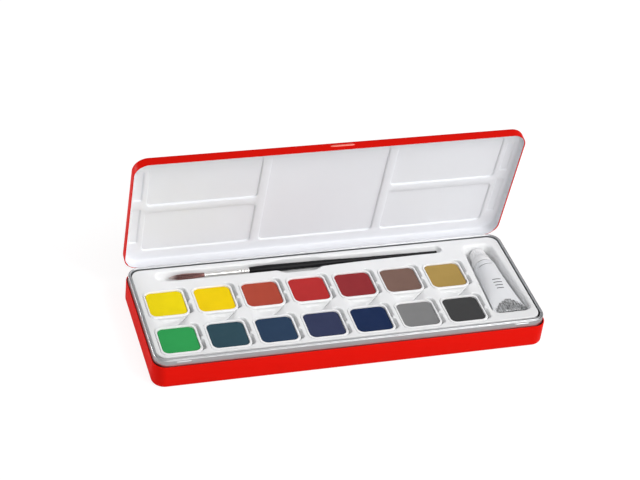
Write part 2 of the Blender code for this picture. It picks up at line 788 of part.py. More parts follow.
def brush_hair(look):
    """Tapered three-sided hairs standing on one backing slice, closing to a point."""
    shape = bmesh.new()
    root_x = HAIR_ROOT_X - FIT_GAP
    length = root_x - HAIR_TIP_X
    belly_x = root_x - length * HAIR_BELLY_SHARE
    slice_thick = HAIR_WIDTH * 5
    disc_radius = FERRULE_MOUTH - FERRULE_SHEET - FIT_GAP / 2
    face_row = add_loop(shape, circle_x(root_x, disc_radius, ROUND_STEPS, BRUSH_Y, BRUSH_Z))
    back_row = add_loop(shape, circle_x(root_x + slice_thick, disc_radius, ROUND_STEPS, BRUSH_Y, BRUSH_Z))
    join_loops(shape, face_row, back_row)
    shape.faces.new(back_row)
    rows = [face_row]
    for turn, share in hair_places():
        tip_x = HAIR_TIP_X + length * HAIR_STAGGER * share * share
        across = Vector((0, math.cos(turn), math.sin(turn)))
        middle = Vector((0, BRUSH_Y, BRUSH_Z))
        root_row, belly_row = [], []
        for corner in range(3):
            angle = turn + math.tau * corner / 3
            spread = Vector((0, math.cos(angle), math.sin(angle))) * HAIR_WIDTH / 2
            root = across * share * (HAIR_RADIUS - HAIR_WIDTH) + spread
            belly = across * share * (HAIR_BELLY - HAIR_WIDTH) + spread
            root_row.append(shape.verts.new(middle + root + Vector((root_x, 0, 0))))
            belly_row.append(shape.verts.new(middle + belly + Vector((belly_x, 0, 0))))
        drawn_in = HAIR_TIP_SHARE + HAIR_STAGGER * share * share
        tip = shape.verts.new(middle + across * share * HAIR_BELLY * drawn_in + Vector((tip_x, 0, 0)))
        join_loops(shape, root_row, belly_row)
        for corner in range(3):
            shape.faces.new((belly_row[corner], belly_row[(corner + 1) % 3], tip))
        rows.append(root_row)
    fill_between(shape, rows, facing=(-1, 0, 0))
    made = solid_object("brush_hair", shape, look)
    smooth(made, 60)
    return made


# Paint tube


def tube_loop(y, half_x, half_z, steps=ROUND_STEPS, z=TUBE_Z):
    """Oval section of the tube, in order for loops stacked toward -Y."""
    points = []
    for step in range(steps):
        angle = math.tau * step / steps
        points.append(Vector((TUBE_X + half_x * math.cos(angle), y, z + half_z * math.sin(angle))))
    return points


def tube_body(look):
    """Soft tube: threaded neck, shoulder, round body that flattens to a folded end."""
    neck_end = CAP_Y - CAP_TOP_THICK - FIT_GAP
    loops = [
        tube_loop(neck_end, TUBE_NECK_RADIUS, TUBE_NECK_RADIUS),
        tube_loop(CAP_BASE_Y - FIT_GAP, TUBE_NECK_RADIUS, TUBE_NECK_RADIUS),
        tube_loop(CAP_BASE_Y - FIT_GAP * 2, CAP_RADIUS, CAP_RADIUS),
        tube_loop(TUBE_SHOULDER_Y, TUBE_RADIUS, TUBE_RADIUS),
    ]
    fold_start = TUBE_CRIMP_Y + TUBE_FOLD
    for step in range(5):
        share = step / 4
        y = TUBE_ROUND_Y + (fold_start - TUBE_ROUND_Y) * share
        widened = ((TUBE_ROUND_Y - y) / (TUBE_ROUND_Y - TUBE_CRIMP_Y)) ** TUBE_WIDEN_POWER
        flattened = share ** TUBE_FLATTEN_POWER
        half_x = TUBE_RADIUS + (TUBE_FLAT_HALF - TUBE_RADIUS) * widened
        half_z = TUBE_RADIUS + (TUBE_FLAT_THICK - TUBE_RADIUS) * flattened
        z = TUBE_Z + (TUBE_CRIMP_Z - TUBE_Z) * flattened
        loops.append(tube_loop(y, half_x, half_z, ROUND_STEPS, z))
    loops.append(tube_loop(TUBE_CRIMP_Y, TUBE_FLAT_HALF, TUBE_FLAT_THICK, ROUND_STEPS, TUBE_CRIMP_Z))
    made = closed_stack("tube_body", loops, look)
    smooth(made)
    return made


def tube_cap(look):
    """Ribbed screw cap with a bore that takes the neck."""
    def ribbed(y, radius):
        points = []
        for step in range(CAP_RIBS * 2):
            angle = math.tau * step / (CAP_RIBS * 2)
            ribbed_radius = radius - CAP_RIB * (step % 2)
            across = ribbed_radius * math.cos(angle)
            points.append(Vector((TUBE_X + across, y, TUBE_Z + ribbed_radius * math.sin(angle))))
        return points

    bore = TUBE_NECK_RADIUS + FIT_GAP
    count = CAP_RIBS * 2
    step_y = CAP_BASE_Y + CAP_LENGTH * CAP_STEP_SHARE
    loops = [
        tube_loop(CAP_Y, CAP_TOP_RADIUS - CAP_RIB * 2, CAP_TOP_RADIUS - CAP_RIB * 2, count),
        ribbed(CAP_Y - CAP_RIB * 2, CAP_TOP_RADIUS),
        ribbed(step_y + CAP_RIB, CAP_UPPER_RADIUS),
        tube_loop(step_y, CAP_STEP_RADIUS, CAP_STEP_RADIUS, count),
        tube_loop(CAP_BASE_Y, CAP_RADIUS, CAP_RADIUS, count),
        tube_loop(CAP_BASE_Y, bore, bore, count),
        tube_loop(CAP_Y - CAP_TOP_THICK, bore, bore, count),
    ]
    made = closed_stack("tube_cap", loops, look)
    smooth(made, 25)
    return made


# Lid


def lid_height():
    return WALL_HEIGHT + FIT_GAP + LID_SKIRT


def pressed_field(shape, x_range, y_range, form):
    """Rounded field pressed away from the inside of the lid; returns its mouth."""
    corner, depth, profile, steps = form
    top = lid_height()
    slope = WELL_SLOPE
    loops = []
    for run, drop in profile:
        inset = slope * run
        xs = (x_range[0] + inset, x_range[1] - inset)
        ys = (y_range[0] + inset, y_range[1] - inset)
        loops.append(rounded_loop(xs, ys, max(corner - inset, SHEET), steps, top + depth * drop))
    mouth, floor = stack_loops(shape, loops)
    shape.faces.new(floor)
    return mouth


def from_hinge(distance):
    """World Y of a place on the closed lid given by its distance from the rear face."""
    return TIN_DEPTH / 2 - distance


def lid_fields():
    low = (from_hinge(WELL_SPLIT_LOW), from_hinge(HINGE_BAND))
    high = (from_hinge(WELL_FRONT), from_hinge(WELL_SPLIT_HIGH))
    whole = (high[0], low[1])
    yield (-CENTRE_WELL_HALF, CENTRE_WELL_HALF), whole
    for side in (-1, 1):
        span = sorted((side * SIDE_WELL_INNER, side * SIDE_WELL_OUTER))
        yield tuple(span), low
        yield tuple(span), high


def lid_strips():
    for side in (-1, 1):
        span = tuple(sorted((side * STRIP_INNER, side * STRIP_OUTER)))
        for start, end in zip(STRIP_END_SHARES[::2], STRIP_END_SHARES[1::2]):
            yield span, (from_hinge(TIN_DEPTH * end), from_hinge(TIN_DEPTH * start))


def bead_tool(name, radius, out):
    """Round-ended bar along X on the front skirt."""
    y = -TIN_DEPTH / 2 + out
    z = lid_height() - LID_SKIRT / 2
    half = BEAD_LENGTH / 2
    stations = [(-half + radius * back, radius * share) for back, share in BEAD_END_SHARES]
    stations += [(half - radius * back, radius * share) for back, share in reversed(BEAD_END_SHARES)]
    middle = TIN_LENGTH * BEAD_AT_SHARE
    loops = [circle_x(middle + x, rounded, ROUND_STEPS // 2, y, z) for x, rounded in stations]
    return closed_stack(name, loops, bpy.data.materials["red_enamel"])


def lid_shell(look):
    """Drawn sheet: skirt, rounded edge, and the fields pressed into the flat top."""
    shape = bmesh.new()
    top = lid_height()
    share = 1 - math.sqrt(0.5)
    skirt_loops = [
        tin_loop(0, WALL_HEIGHT + FIT_GAP),
        tin_loop(0, top - LID_ROUND),
        tin_loop(LID_ROUND * share, top - LID_ROUND * share),
        tin_loop(LID_ROUND, top),
    ]
    rows = [stack_loops(shape, skirt_loops)[1]]
    for x_range, y_range in lid_fields():
        rows.append(pressed_field(shape, x_range, y_range, (WELL_CORNER, WELL_DEPTH, WELL_EDGE_SHARES, 4)))
    for x_range, y_range in lid_strips():
        rows.append(pressed_field(shape, x_range, y_range, (STRIP_CORNER, STRIP_DEPTH, STRIP_EDGE_SHARES, 2)))
    fill_between(shape, rows)
    face_upward(shape)
    made = new_object("lid_shell", shape, look)
    thicken(made, SHEET, -1)
    apply_modifiers(made)
    bead_out = bead_tool("bead_out", BEAD_RADIUS, SHEET / 2)
    boolean(made, bead_out, "UNION")
    for centre_x in hinge_centres():
        boolean(made, knuckle("lid_knuckle", centre_x, LID_KNUCKLE, True), "UNION")
    apply_modifiers(made)
    smooth(made)
    return made


def open_lid(made):
    """Sets the lid's origin on the hinge line, then turns it open."""
    line = hinge_line()
    made.data.transform(Matrix.Translation(-line))
    made.location = line
    made.rotation_euler = (-math.radians(LID_OPEN_DEGREES), 0, 0)


def set_origin(made, place):
    """Moves an object's origin to a place without moving its shape."""
    made.data.transform(Matrix.Translation(-Vector(place)))
    made.location = place


# Materials

PAINTS = (
    (0.831, 0.672, 0.005),
    (0.839, 0.597, 0.001),
    (0.462, 0.074, 0.043),
    (0.503, 0.032, 0.032),
    (0.309, 0.031, 0.037),
    (0.212, 0.127, 0.102),
    (0.440, 0.296, 0.087),
    (0.034, 0.376, 0.098),
    (0.032, 0.076, 0.102),
    (0.025, 0.054, 0.107),
    (0.038, 0.048, 0.107),
    (0.010, 0.027, 0.089),
    (0.235, 0.235, 0.235),
    (0.060, 0.060, 0.060),
)


def build():
    clear_scene()
    red = material("red_enamel", (0.760, 0.011, 0.005), 0.3)
    tinplate = material("bare_tinplate", (0.62, 0.63, 0.65), 0.3, 1.0)
    steel = material("pin_steel", (0.45, 0.45, 0.46), 0.4, 1.0)
    white_tray = material("tray_plastic", (0.85, 0.85, 0.86), 0.45)
    white_cup = material("cup_plastic", (0.86, 0.86, 0.87), 0.35)
    hair = material("brush_hair", (0.090, 0.030, 0.022), 0.6)
    nickel = material("ferrule_nickel", (0.75, 0.75, 0.74), 0.2, 1.0)
    black = material("black_lacquer", (0.012, 0.012, 0.013), 0.15)
    tube = material("tube_enamel", (0.80, 0.81, 0.83), 0.35)
    cap = material("cap_plastic", (0.86, 0.86, 0.87), 0.4)

    base_shell(red)
    neck_frame(tinplate)
    paint_tray(white_tray)
    for number, centre in enumerate(pan_centres(), start=1):
        paint = material(f"paint_{number:02d}", PAINTS[number - 1], 0.6)
        set_origin(pan_cup(f"pan_cup_{number:02d}", centre, white_cup), (*centre, POCKET_FLOOR))
        set_origin(paint_cake(f"paint_cake_{number:02d}", centre, paint), (*centre, POCKET_FLOOR))
    set_origin(brush_hair(hair), (0, BRUSH_Y, BRUSH_Z))
    set_origin(brush_ferrule(nickel), (0, BRUSH_Y, BRUSH_Z))
    set_origin(brush_handle(black), (0, BRUSH_Y, BRUSH_Z))
    set_origin(tube_body(tube), (TUBE_X, 0, TUBE_Z))
    set_origin(tube_cap(cap), (TUBE_X, CAP_BASE_Y, TUBE_Z))
    line = hinge_line()
    for name, centre_x in zip(("hinge_pin_left", "hinge_pin_right"), hinge_centres()):
        set_origin(hinge_pin(name, centre_x, steel), (centre_x, line.y, line.z))
    open_lid(lid_shell(red))


build()
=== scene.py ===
"""Gouache paint set in a hinged tin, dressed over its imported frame."""

import random
from math import cos, exp, hypot, pi, radians, sin, sqrt, tau

import bmesh
import bpy
from mathutils import Matrix, Vector
from mathutils.geometry import delaunay_2d_cdt


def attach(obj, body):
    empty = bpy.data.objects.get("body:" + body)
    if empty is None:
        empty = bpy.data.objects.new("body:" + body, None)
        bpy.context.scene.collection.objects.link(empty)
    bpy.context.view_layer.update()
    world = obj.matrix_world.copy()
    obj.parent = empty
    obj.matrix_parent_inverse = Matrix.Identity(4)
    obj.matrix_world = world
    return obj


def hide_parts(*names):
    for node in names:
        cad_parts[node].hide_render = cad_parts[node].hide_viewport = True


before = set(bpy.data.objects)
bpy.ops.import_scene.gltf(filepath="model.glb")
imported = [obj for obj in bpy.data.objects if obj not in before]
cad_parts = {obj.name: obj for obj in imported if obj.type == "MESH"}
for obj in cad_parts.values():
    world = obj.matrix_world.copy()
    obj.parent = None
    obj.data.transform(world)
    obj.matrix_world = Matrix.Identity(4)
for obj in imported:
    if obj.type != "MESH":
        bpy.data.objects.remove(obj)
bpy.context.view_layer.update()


# Camera
# The photograph looks down from the left front, turned a little on its own axis.
# The long lens and the distance come from the tin's own corners.

CAMERA_LEFT = radians(-20.35)
CAMERA_ABOVE = radians(36.51)
CAMERA_ROLL = radians(7.04)
CAMERA_DISTANCE = 1.18262
CAMERA_ASIDE = (0.00874, -0.05152)
CAMERA_LENS = 101.81
CAMERA_SENSOR = 36
CAMERA_REACH = (0.02, 50)


def placed(name, data):
    """Adds an object with its data to the scene."""
    made = bpy.data.objects.new(name, data)
    bpy.context.scene.collection.objects.link(made)
    return made


def place_camera():
    back = Vector((
        sin(CAMERA_LEFT) * cos(CAMERA_ABOVE),
        -cos(CAMERA_LEFT) * cos(CAMERA_ABOVE),
        sin(CAMERA_ABOVE),
    ))
    level = Vector((cos(CAMERA_LEFT), sin(CAMERA_LEFT), 0))
    upright = back.cross(level)
    across = level * cos(CAMERA_ROLL) + upright * sin(CAMERA_ROLL)
    up = upright * cos(CAMERA_ROLL) - level * sin(CAMERA_ROLL)
    place = back * CAMERA_DISTANCE - across * CAMERA_ASIDE[0] - up * CAMERA_ASIDE[1]
    data = bpy.data.cameras.new("camera")
    data.lens = CAMERA_LENS
    data.sensor_width = CAMERA_SENSOR
    data.clip_start, data.clip_end = CAMERA_REACH
    camera = placed("camera", data)
    turn = Matrix((across, up, back)).transposed().to_4x4()
    camera.matrix_world = Matrix.Translation(place) @ turn
    bpy.context.scene.camera = camera


place_camera()


# Studio
# A white sweep under even light: a broad soft lamp high on the right front, a weak one straight
# in front and a low one behind the left end. The floor shows white and keeps a faint shadow.

SKY_TOWARD = (0.42, -0.40, 0.81)
SKY_DARK = (0.20, 0.20, 0.205, 1)
SKY_FULL_AT = 0.75
SKY_STRENGTH = 0.53
PAPER_GREY = (0.62, 0.62, 0.62, 1)
PAPER_GLOW = 1.42
PAPER_GLOW_SHARE = 0.60
FLOOR_HALF = 6
FLOOR_DROP = 0.0002
LAMPS = (
    ("key", (1.2, -1.2, 1.62), (0, 0, 0.03), (1.13, 1.13), 27),
    ("fill", (0.15, -1.9, 0.75), (0, 0, 0.03), (1.4, 1.4), 14.5),
    ("left", (-1.42, 0.80, 0.16), (-0.13, 0, 0.01), (0.7, 0.28), 16),
)

bpy.context.scene.view_settings.view_transform = "Standard"


def split_for_camera(tree, lighting, seen, share, output):
    """Lets one shader light the scene and adds a share of another for camera rays alone."""
    rays = tree.nodes.new("ShaderNodeLightPath")
    part = tree.nodes.new("ShaderNodeMath")
    part.operation = "MULTIPLY"
    part.inputs[1].default_value = share
    mix = tree.nodes.new("ShaderNodeMixShader")
    out = tree.nodes.new(output)
    tree.links.new(rays.outputs["Is Camera Ray"], part.inputs[0])
    tree.links.new(part.outputs[0], mix.inputs["Fac"])
    tree.links.new(lighting.outputs[0], mix.inputs[1])
    tree.links.new(seen.outputs[0], mix.inputs[2])
    tree.links.new(mix.outputs[0], out.inputs["Surface"])


def white_world():
    world = bpy.data.worlds.new("studio")
    world.use_nodes = True
    nodes, links = world.node_tree.nodes, world.node_tree.links
    nodes.clear()
    place = nodes.new("ShaderNodeTexCoord")
    toward = nodes.new("ShaderNodeVectorMath")
    toward.operation = "DOT_PRODUCT"
    toward.inputs[1].default_value = SKY_TOWARD
    ramp = nodes.new("ShaderNodeValToRGB")
    ramp.color_ramp.elements[0].position = 0.0
    ramp.color_ramp.elements[0].color = SKY_DARK
    ramp.color_ramp.elements[1].position = SKY_FULL_AT
    ramp.color_ramp.elements[1].color = (1.0, 1.0, 1.0, 1)
    links.new(place.outputs["Generated"], toward.inputs[0])
    links.new(toward.outputs["Value"], ramp.inputs["Fac"])
    soft = nodes.new("ShaderNodeBackground")
    soft.inputs["Strength"].default_value = SKY_STRENGTH
    links.new(ramp.outputs["Color"], soft.inputs["Color"])
    plain = nodes.new("ShaderNodeBackground")
    plain.inputs["Color"].default_value = (1, 1, 1, 1)
    plain.inputs["Strength"].default_value = 1.0
    split_for_camera(world.node_tree, soft, plain, 1, "ShaderNodeOutputWorld")
    bpy.context.scene.world = world


def soft_lamp(name, place, aim, size, power):
    data = bpy.data.lights.new(name, "AREA")
    data.shape = "RECTANGLE"
    data.size, data.size_y = size
    data.energy = power
    lamp = placed(name, data)
    lamp.location = place
    lamp.rotation_euler = (Vector(aim) - Vector(place)).to_track_quat("-Z", "Y").to_euler()


def finished(name, shape, materials, sharp=40):
    """Makes the object, shaded smooth except over sharp edges."""
    mesh = bpy.data.meshes.new(name)
    shape.to_mesh(mesh)
    shape.free()
    made = placed(name, mesh)
    for look in materials:
        mesh.materials.append(look)
    mesh.shade_smooth()
    mesh.set_sharp_from_angle(angle=radians(sharp))
    return made


def white_floor():
    shape = bmesh.new()
    bmesh.ops.create_grid(shape, x_segments=1, y_segments=1, size=FLOOR_HALF)
    paper = bpy.data.materials.new("white_paper")
    paper.use_nodes = True
    nodes = paper.node_tree.nodes
    nodes.clear()
    matt = nodes.new("ShaderNodeBsdfDiffuse")
    matt.inputs["Color"].default_value = PAPER_GREY
    glow = nodes.new("ShaderNodeEmission")
    glow.inputs["Color"].default_value = (1, 1, 1, 1)
    glow.inputs["Strength"].default_value = PAPER_GLOW
    split_for_camera(paper.node_tree, matt, glow, PAPER_GLOW_SHARE, "ShaderNodeOutputMaterial")
    floor = finished("floor", shape, [paper])
    floor.location.z = -FLOOR_DROP


white_world()
for name, place, aim, size, power in LAMPS:
    soft_lamp(name, place, aim, size, power)
white_floor()


# Red bottom shell
# One drawn tinplate tray: red enamel outside, bare tin inside, rounded at the foot.
# The rim turns inward against the neck, and a shallow panel stiffens the underside.

TIN_HALF = Vector((0.130, 0.048))
TIN_CORNER = 0.010
WALL_HEIGHT = 0.0163
SHEET = 0.0005
FOOT_ROUND = 0.0022
SHELL_CORNER = 0.0085
CORNER_STEPS = 16
LEAST_CORNER = 0.0004
PANEL_INSET = 0.0088
PANEL_RUN = 0.0012
PANEL_RISE = 0.00035
LIP_OUTSIDE = 0.0003
LIP_INSIDE = 0.0002
LIP_TURN = 0.00055
EVEN = (1, 1, 1)


def rounded_ring(x_low, x_high, y_low, y_high, corner, z, steps=CORNER_STEPS):
    """Anticlockwise points of a rounded rectangle, as seen from above."""
    ring = []
    centres = (
        (x_high - corner, y_high - corner),
        (x_low + corner, y_high - corner),
        (x_low + corner, y_low + corner),
        (x_high - corner, y_low + corner),
    )
    for quarter, (x, y) in enumerate(centres):
        for step in range(steps + 1):
            angle = pi / 2 * (quarter + step / steps)
            ring.append(Vector((x + corner * cos(angle), y + corner * sin(angle), z)))
    return ring


def tin_ring(inset, z, corner=TIN_CORNER):
    half_x, half_y = TIN_HALF.x - inset, TIN_HALF.y - inset
    return rounded_ring(-half_x, half_x, -half_y, half_y, max(corner - inset, LEAST_CORNER), z)


def bend(inset, z, radius, start, end, steps=6):
    """Inset and height of points on a bend, between two angles in degrees."""
    points = []
    for step in range(steps + 1):
        angle = radians(start + (end - start) * step / steps)
        points.append((inset + radius * cos(angle), z + radius * sin(angle)))
    return points


def closed(shape, rows):
    """Puts a face on the first row and on the last."""
    shape.faces.new(list(reversed(rows[0])))
    shape.faces.new(rows[-1])


def band(shape, lower, upper, slot=0):
    """Joins two rows of vertices that go round, and gives the faces a material slot."""
    count = len(lower)
    for index in range(count):
        after = (index + 1) % count
        face = shape.faces.new((lower[index], lower[after], upper[after], upper[index]))
        face.material_index = slot


def lofted(shape, rings, slot=0):
    """Rows of vertices through rings of points, joined in turn."""
    rows = [[shape.verts.new(point) for point in ring] for ring in rings]
    for lower, upper in zip(rows, rows[1:]):
        band(shape, lower, upper, slot)
    return rows


class Finish:
    """A surface material whose nodes are added one at a time."""

    def __init__(self, name, colour, roughness, metallic=0.0):
        self.material = bpy.data.materials.new(name)
        self.material.use_nodes = True
        self.nodes = self.material.node_tree.nodes
        self.links = self.material.node_tree.links
        self.shader = self.nodes["Principled BSDF"]
        self.shader.inputs["Base Color"].default_value = (*colour, 1)
        self.shader.inputs["Roughness"].default_value = roughness
        self.shader.inputs["Metallic"].default_value = metallic
        self.place = self.nodes.new("ShaderNodeTexCoord")
        self.colour = colour
        self.roughness = roughness

    def add(self, kind, **settings):
        node = self.nodes.new(kind)
        for key, value in settings.items():
            setattr(node, key, value)
        return node

    def grain(self, size, stretch=EVEN, detail=3.0):
        """Noise of a given size in metres, from 0 to 1, stretched along the axes."""
        spread = self.add("ShaderNodeMapping")
        spread.inputs["Scale"].default_value = tuple(1 / s for s in stretch)
        noise = self.add("ShaderNodeTexNoise")
        noise.inputs["Scale"].default_value = 1 / size
        noise.inputs["Detail"].default_value = detail
        self.links.new(self.place.outputs["Object"], spread.inputs["Vector"])
        self.links.new(spread.outputs["Vector"], noise.inputs["Vector"])
        return noise.outputs["Fac"]

    def between(self, value, low, high, clamp=True):
        """Maps 0..1 to low..high."""
        node = self.add("ShaderNodeMapRange", clamp=clamp)
        node.inputs["To Min"].default_value = low
        node.inputs["To Max"].default_value = high
        self.links.new(value, node.inputs["Value"])
        return node.outputs["Result"]

    def mottle(self, value, dark, light):
        """Colour that varies between a darker and a lighter shade of the base colour."""
        ramp = self.add("ShaderNodeValToRGB")
        ramp.color_ramp.elements[0].position = 0.3
        ramp.color_ramp.elements[1].position = 0.7
        ramp.color_ramp.elements[0].color = (*(min(c * dark, 1) for c in self.colour), 1)
        ramp.color_ramp.elements[1].color = (*(min(c * light, 1) for c in self.colour), 1)
        self.links.new(value, ramp.inputs["Fac"])
        self.links.new(ramp.outputs["Color"], self.shader.inputs["Base Color"])
        return ramp.outputs["Color"]

    def rough(self, value, low, high):
        self.links.new(self.between(value, low, high), self.shader.inputs["Roughness"])

    def bump(self, value, depth, strength=1.0):
        node = self.add("ShaderNodeBump")
        node.inputs["Strength"].default_value = strength
        node.inputs["Distance"].default_value = depth
        self.links.new(value, node.inputs["Height"])
        last = self.shader.inputs["Normal"]
        if last.is_linked:
            self.links.new(last.links[0].from_socket, node.inputs["Normal"])
        self.links.new(node.outputs["Normal"], last)


def grained(name, colour, roughness, mottle, rough, *bumps, metallic=0.0, specular=None):
    """A finish with grain; each part of it says its limits or its depth, then size, stretch and detail."""
    look = Finish(name, colour, roughness, metallic)
    if specular is not None:
        look.shader.inputs["Specular IOR Level"].default_value = specular
    dark, light, *grain = mottle
    look.mottle(look.grain(*grain), dark, light)
    low, high, *grain = rough
    look.rough(look.grain(*grain), low, high)
    for depth, *grain in bumps:
        look.bump(look.grain(*grain), depth)
    return look.material


red_enamel = grained(
    "red_enamel", (0.735, 0.0062, 0.0022), 0.34, (0.985, 1.015, 0.030), (0.30, 0.40, 0.004),
    (0.000001, 0.0012), specular=0.05)
bare_tin = grained(
    "bare_tin", (0.60, 0.61, 0.62), 0.27, (0.94, 1.05, 0.006, (6, 6, 0.4)),
    (0.22, 0.34, 0.002, (8, 8, 0.5)), (0.0000015, 0.0006, (10, 10, 0.6)), metallic=1.0)


def bottom_shell():
    outside = [(PANEL_INSET + PANEL_RUN, PANEL_RISE)]
    for step in range(7):
        share = 0.5 + 0.5 * cos(pi * step / 6)
        outside.append((PANEL_INSET - PANEL_RUN * step / 6, PANEL_RISE * share))
    outside += bend(FOOT_ROUND, FOOT_ROUND, FOOT_ROUND, 270, 180, 9)
    outside += bend(LIP_OUTSIDE, WALL_HEIGHT - LIP_OUTSIDE, LIP_OUTSIDE, 180, 90, 4)
    outside += bend(LIP_TURN, WALL_HEIGHT - LIP_INSIDE, LIP_INSIDE, 90, 0, 3)
    inside = [(LIP_TURN + LIP_INSIDE, WALL_HEIGHT - 3 * LIP_INSIDE)]
    inside += [(SHEET, WALL_HEIGHT - 3 * LIP_OUTSIDE), (SHEET, FOOT_ROUND)]
    inside += bend(FOOT_ROUND, FOOT_ROUND, FOOT_ROUND - SHEET, 180, 270, 5)
    shape = bmesh.new()
    rows = lofted(shape, [tin_ring(inset, z, SHELL_CORNER) for inset, z in outside])
    inner = lofted(shape, [tin_ring(inset, z, SHELL_CORNER) for inset, z in inside], 1)
    band(shape, rows[-1], inner[0])
    shape.faces.new(list(reversed(rows[0])))
    shape.faces.new(inner[-1]).material_index = 1
    made = finished("bottom_shell", shape, [red_enamel, bare_tin])
    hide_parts("base_shell")
    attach(made, "base")


bottom_shell()


# Neck frame
# A bare tinplate band that stands out of the shell and guides the lid. Its top edge is curled
# inward in two small folds, and two pressed dimples in front hold the lid shut.

NECK_INSET = 0.00105
NECK_FOOT = FOOT_ROUND + 0.0003
NECK_STATIONS = (0.0150, 0.0172)
NECK_EDGE = 0.0002
NECK_FRONT_SHARE = 0.95
NECK_HEIGHT = 0.0210
NECK_ROLL = 0.0008
NECK_CORNER = 0.0096
DIMPLE_AT = 0.1115
DIMPLE_HALF = (0.00475, 0.00105)
DIMPLE_Z = 0.0187
DIMPLE_RISE = 0.00030
DIMPLE_SUNK = 0.00002


neck_tin = grained(
    "neck_tinplate", (0.60, 0.61, 0.62), 0.34, (0.97, 1.03, 0.030, (6, 6, 0.6)),
    (0.31, 0.38, 0.012, (8, 8, 0.6)), (0.000004, 0.020, (6, 6, 1)), metallic=1.0)


def sheet_rows(shape, rows):
    """Joins open rows of vertices into one surface."""
    for lower, upper in zip(rows, rows[1:]):
        for index in range(len(lower) - 1):
            shape.faces.new((lower[index], lower[index + 1], upper[index + 1], upper[index]))


def front_ring(inset, z, corner, further):
    """A ring of the tin whose front side stands further in than the rest."""
    ring = tin_ring(inset, z, corner)
    for point in ring:
        if point.y < 0:
            point.y += further
    return ring


def neck_band():
    profile = [(NECK_INSET, z) for z in (NECK_FOOT, *NECK_STATIONS)]
    fold = NECK_ROLL / 2
    profile += bend(NECK_INSET + fold, NECK_HEIGHT - fold, fold, 180, 4, 10)
    profile += bend(NECK_INSET + 3 * fold, NECK_HEIGHT - fold, fold, 176, 0, 10)
    profile += [(NECK_INSET + 2 * NECK_ROLL - NECK_EDGE, NECK_HEIGHT - 1.6 * NECK_ROLL)]
    profile += [(NECK_INSET + SHEET, NECK_HEIGHT - 1.9 * NECK_ROLL), (NECK_INSET + SHEET, NECK_FOOT)]
    shape = bmesh.new()
    rings = []
    for inset, z in profile:
        further = max(inset - NECK_INSET - SHEET, 0) * NECK_FRONT_SHARE
        rings.append(front_ring(inset, z, NECK_CORNER, further))
    rows = lofted(shape, rings)
    band(shape, rows[-1], rows[0])
    made = finished("neck_band", shape, [neck_tin])
    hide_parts("neck_frame")
    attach(made, "base")


def snap_dimple(name, x):
    """A low pillow pressed out of the band's front."""
    face = NECK_INSET - TIN_HALF.y
    shape = bmesh.new()
    across, along = 20, 48
    grid = []
    for row in range(across + 1):
        v = 2 * row / across - 1
        line = []
        for column in range(along + 1):
            u = 2 * column / along - 1
            y = face - DIMPLE_RISE * (1 - u ** 16) * (1 - v ** 8) + DIMPLE_SUNK
            line.append(shape.verts.new((x + u * DIMPLE_HALF[0], y, DIMPLE_Z + v * DIMPLE_HALF[1])))
        grid.append(line)
    sheet_rows(shape, grid)
    made = finished(name, shape, [neck_tin])
    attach(made, "base")


neck_band()
snap_dimple("snap_dimple_left", -DIMPLE_AT)
snap_dimple("snap_dimple_right", DIMPLE_AT)


# Hinges
# Strips of the shell and of the lid are curled round a steel wire pin at two places.
# The lid's wide curl turns between two narrow ones of the shell.

HINGE_Y = 0.0498
HINGE_Z = 0.01645
HINGE_STATION = 0.075
CURL_OUTER = 0.0015
CURL_INNER = 0.0010
CURL_ROOT = 0.0004
CURL_TURN = radians(200)
CURL_STEPS = 26
CURL_EASE = 0.015
CURL_EDGE = 0.00008
SHELL_STRIP = 0.005
SHELL_STRIP_ASIDE = 0.0068
LID_STRIP = 0.008
LID_OPEN = radians(79)


def face_out(shape):
    bmesh.ops.recalc_face_normals(shape, faces=shape.faces)


def opening():
    """The turn from the closed lid to where the open lid stands."""
    line = Matrix.Translation((0, HINGE_Y, HINGE_Z))
    return line @ Matrix.Rotation(-LID_OPEN, 4, "X") @ line.inverted()


def opened(shape):
    bmesh.ops.transform(shape, matrix=opening(), verts=shape.verts)


def curl_arc(radius):
    """Points of the curl, from the strip round the pin."""
    angles = [pi / 2 - CURL_TURN * step / CURL_STEPS for step in range(CURL_STEPS + 1)]
    return [(radius * cos(angle), radius * sin(angle)) for angle in angles]


def curl(shape, x, length, over):
    """A strip that leaves the wall and curls round the pin, with softened ends."""
    side = 1 if over else -1
    root = -(HINGE_Y - TIN_HALF.y + CURL_ROOT)
    outline = [(root, side * CURL_OUTER)]
    outline += [(y, side * z) for y, z in curl_arc(CURL_OUTER)]
    outline += [(y, side * z) for y, z in reversed(curl_arc(CURL_INNER))]
    outline.append((root, side * CURL_INNER))
    if over:
        outline.reverse()
    middle = (CURL_OUTER + CURL_INNER) / 2
    ends = ((-0.5, CURL_EDGE), (-0.5 + CURL_EASE, 0), (0.5 - CURL_EASE, 0), (0.5, CURL_EDGE))
    rings = []
    for offset, shrink in ends:
        ring = []
        for y, z in outline:
            far = hypot(y, z)
            pull = 1 + (middle - far) / far * shrink / (CURL_OUTER - middle)
            ring.append(Vector((x + offset * length, HINGE_Y + y * pull, HINGE_Z + z * pull)))
        rings.append(ring)
    rows = lofted(shape, rings)
    closed(shape, rows)


def hinge_curls():
    shape = bmesh.new()
    for station in (-HINGE_STATION, HINGE_STATION):
        for side in (-1, 1):
            curl(shape, station + side * SHELL_STRIP_ASIDE, SHELL_STRIP, False)
    face_out(shape)
    made = finished("shell_hinge_curls", shape, [red_enamel])
    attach(made, "base")
    shape = bmesh.new()
    for station in (-HINGE_STATION, HINGE_STATION):
        curl(shape, station, LID_STRIP, True)
    face_out(shape)
    opened(shape)
    made = finished("lid_hinge_curls", shape, [red_enamel])
    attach(made, "lid")


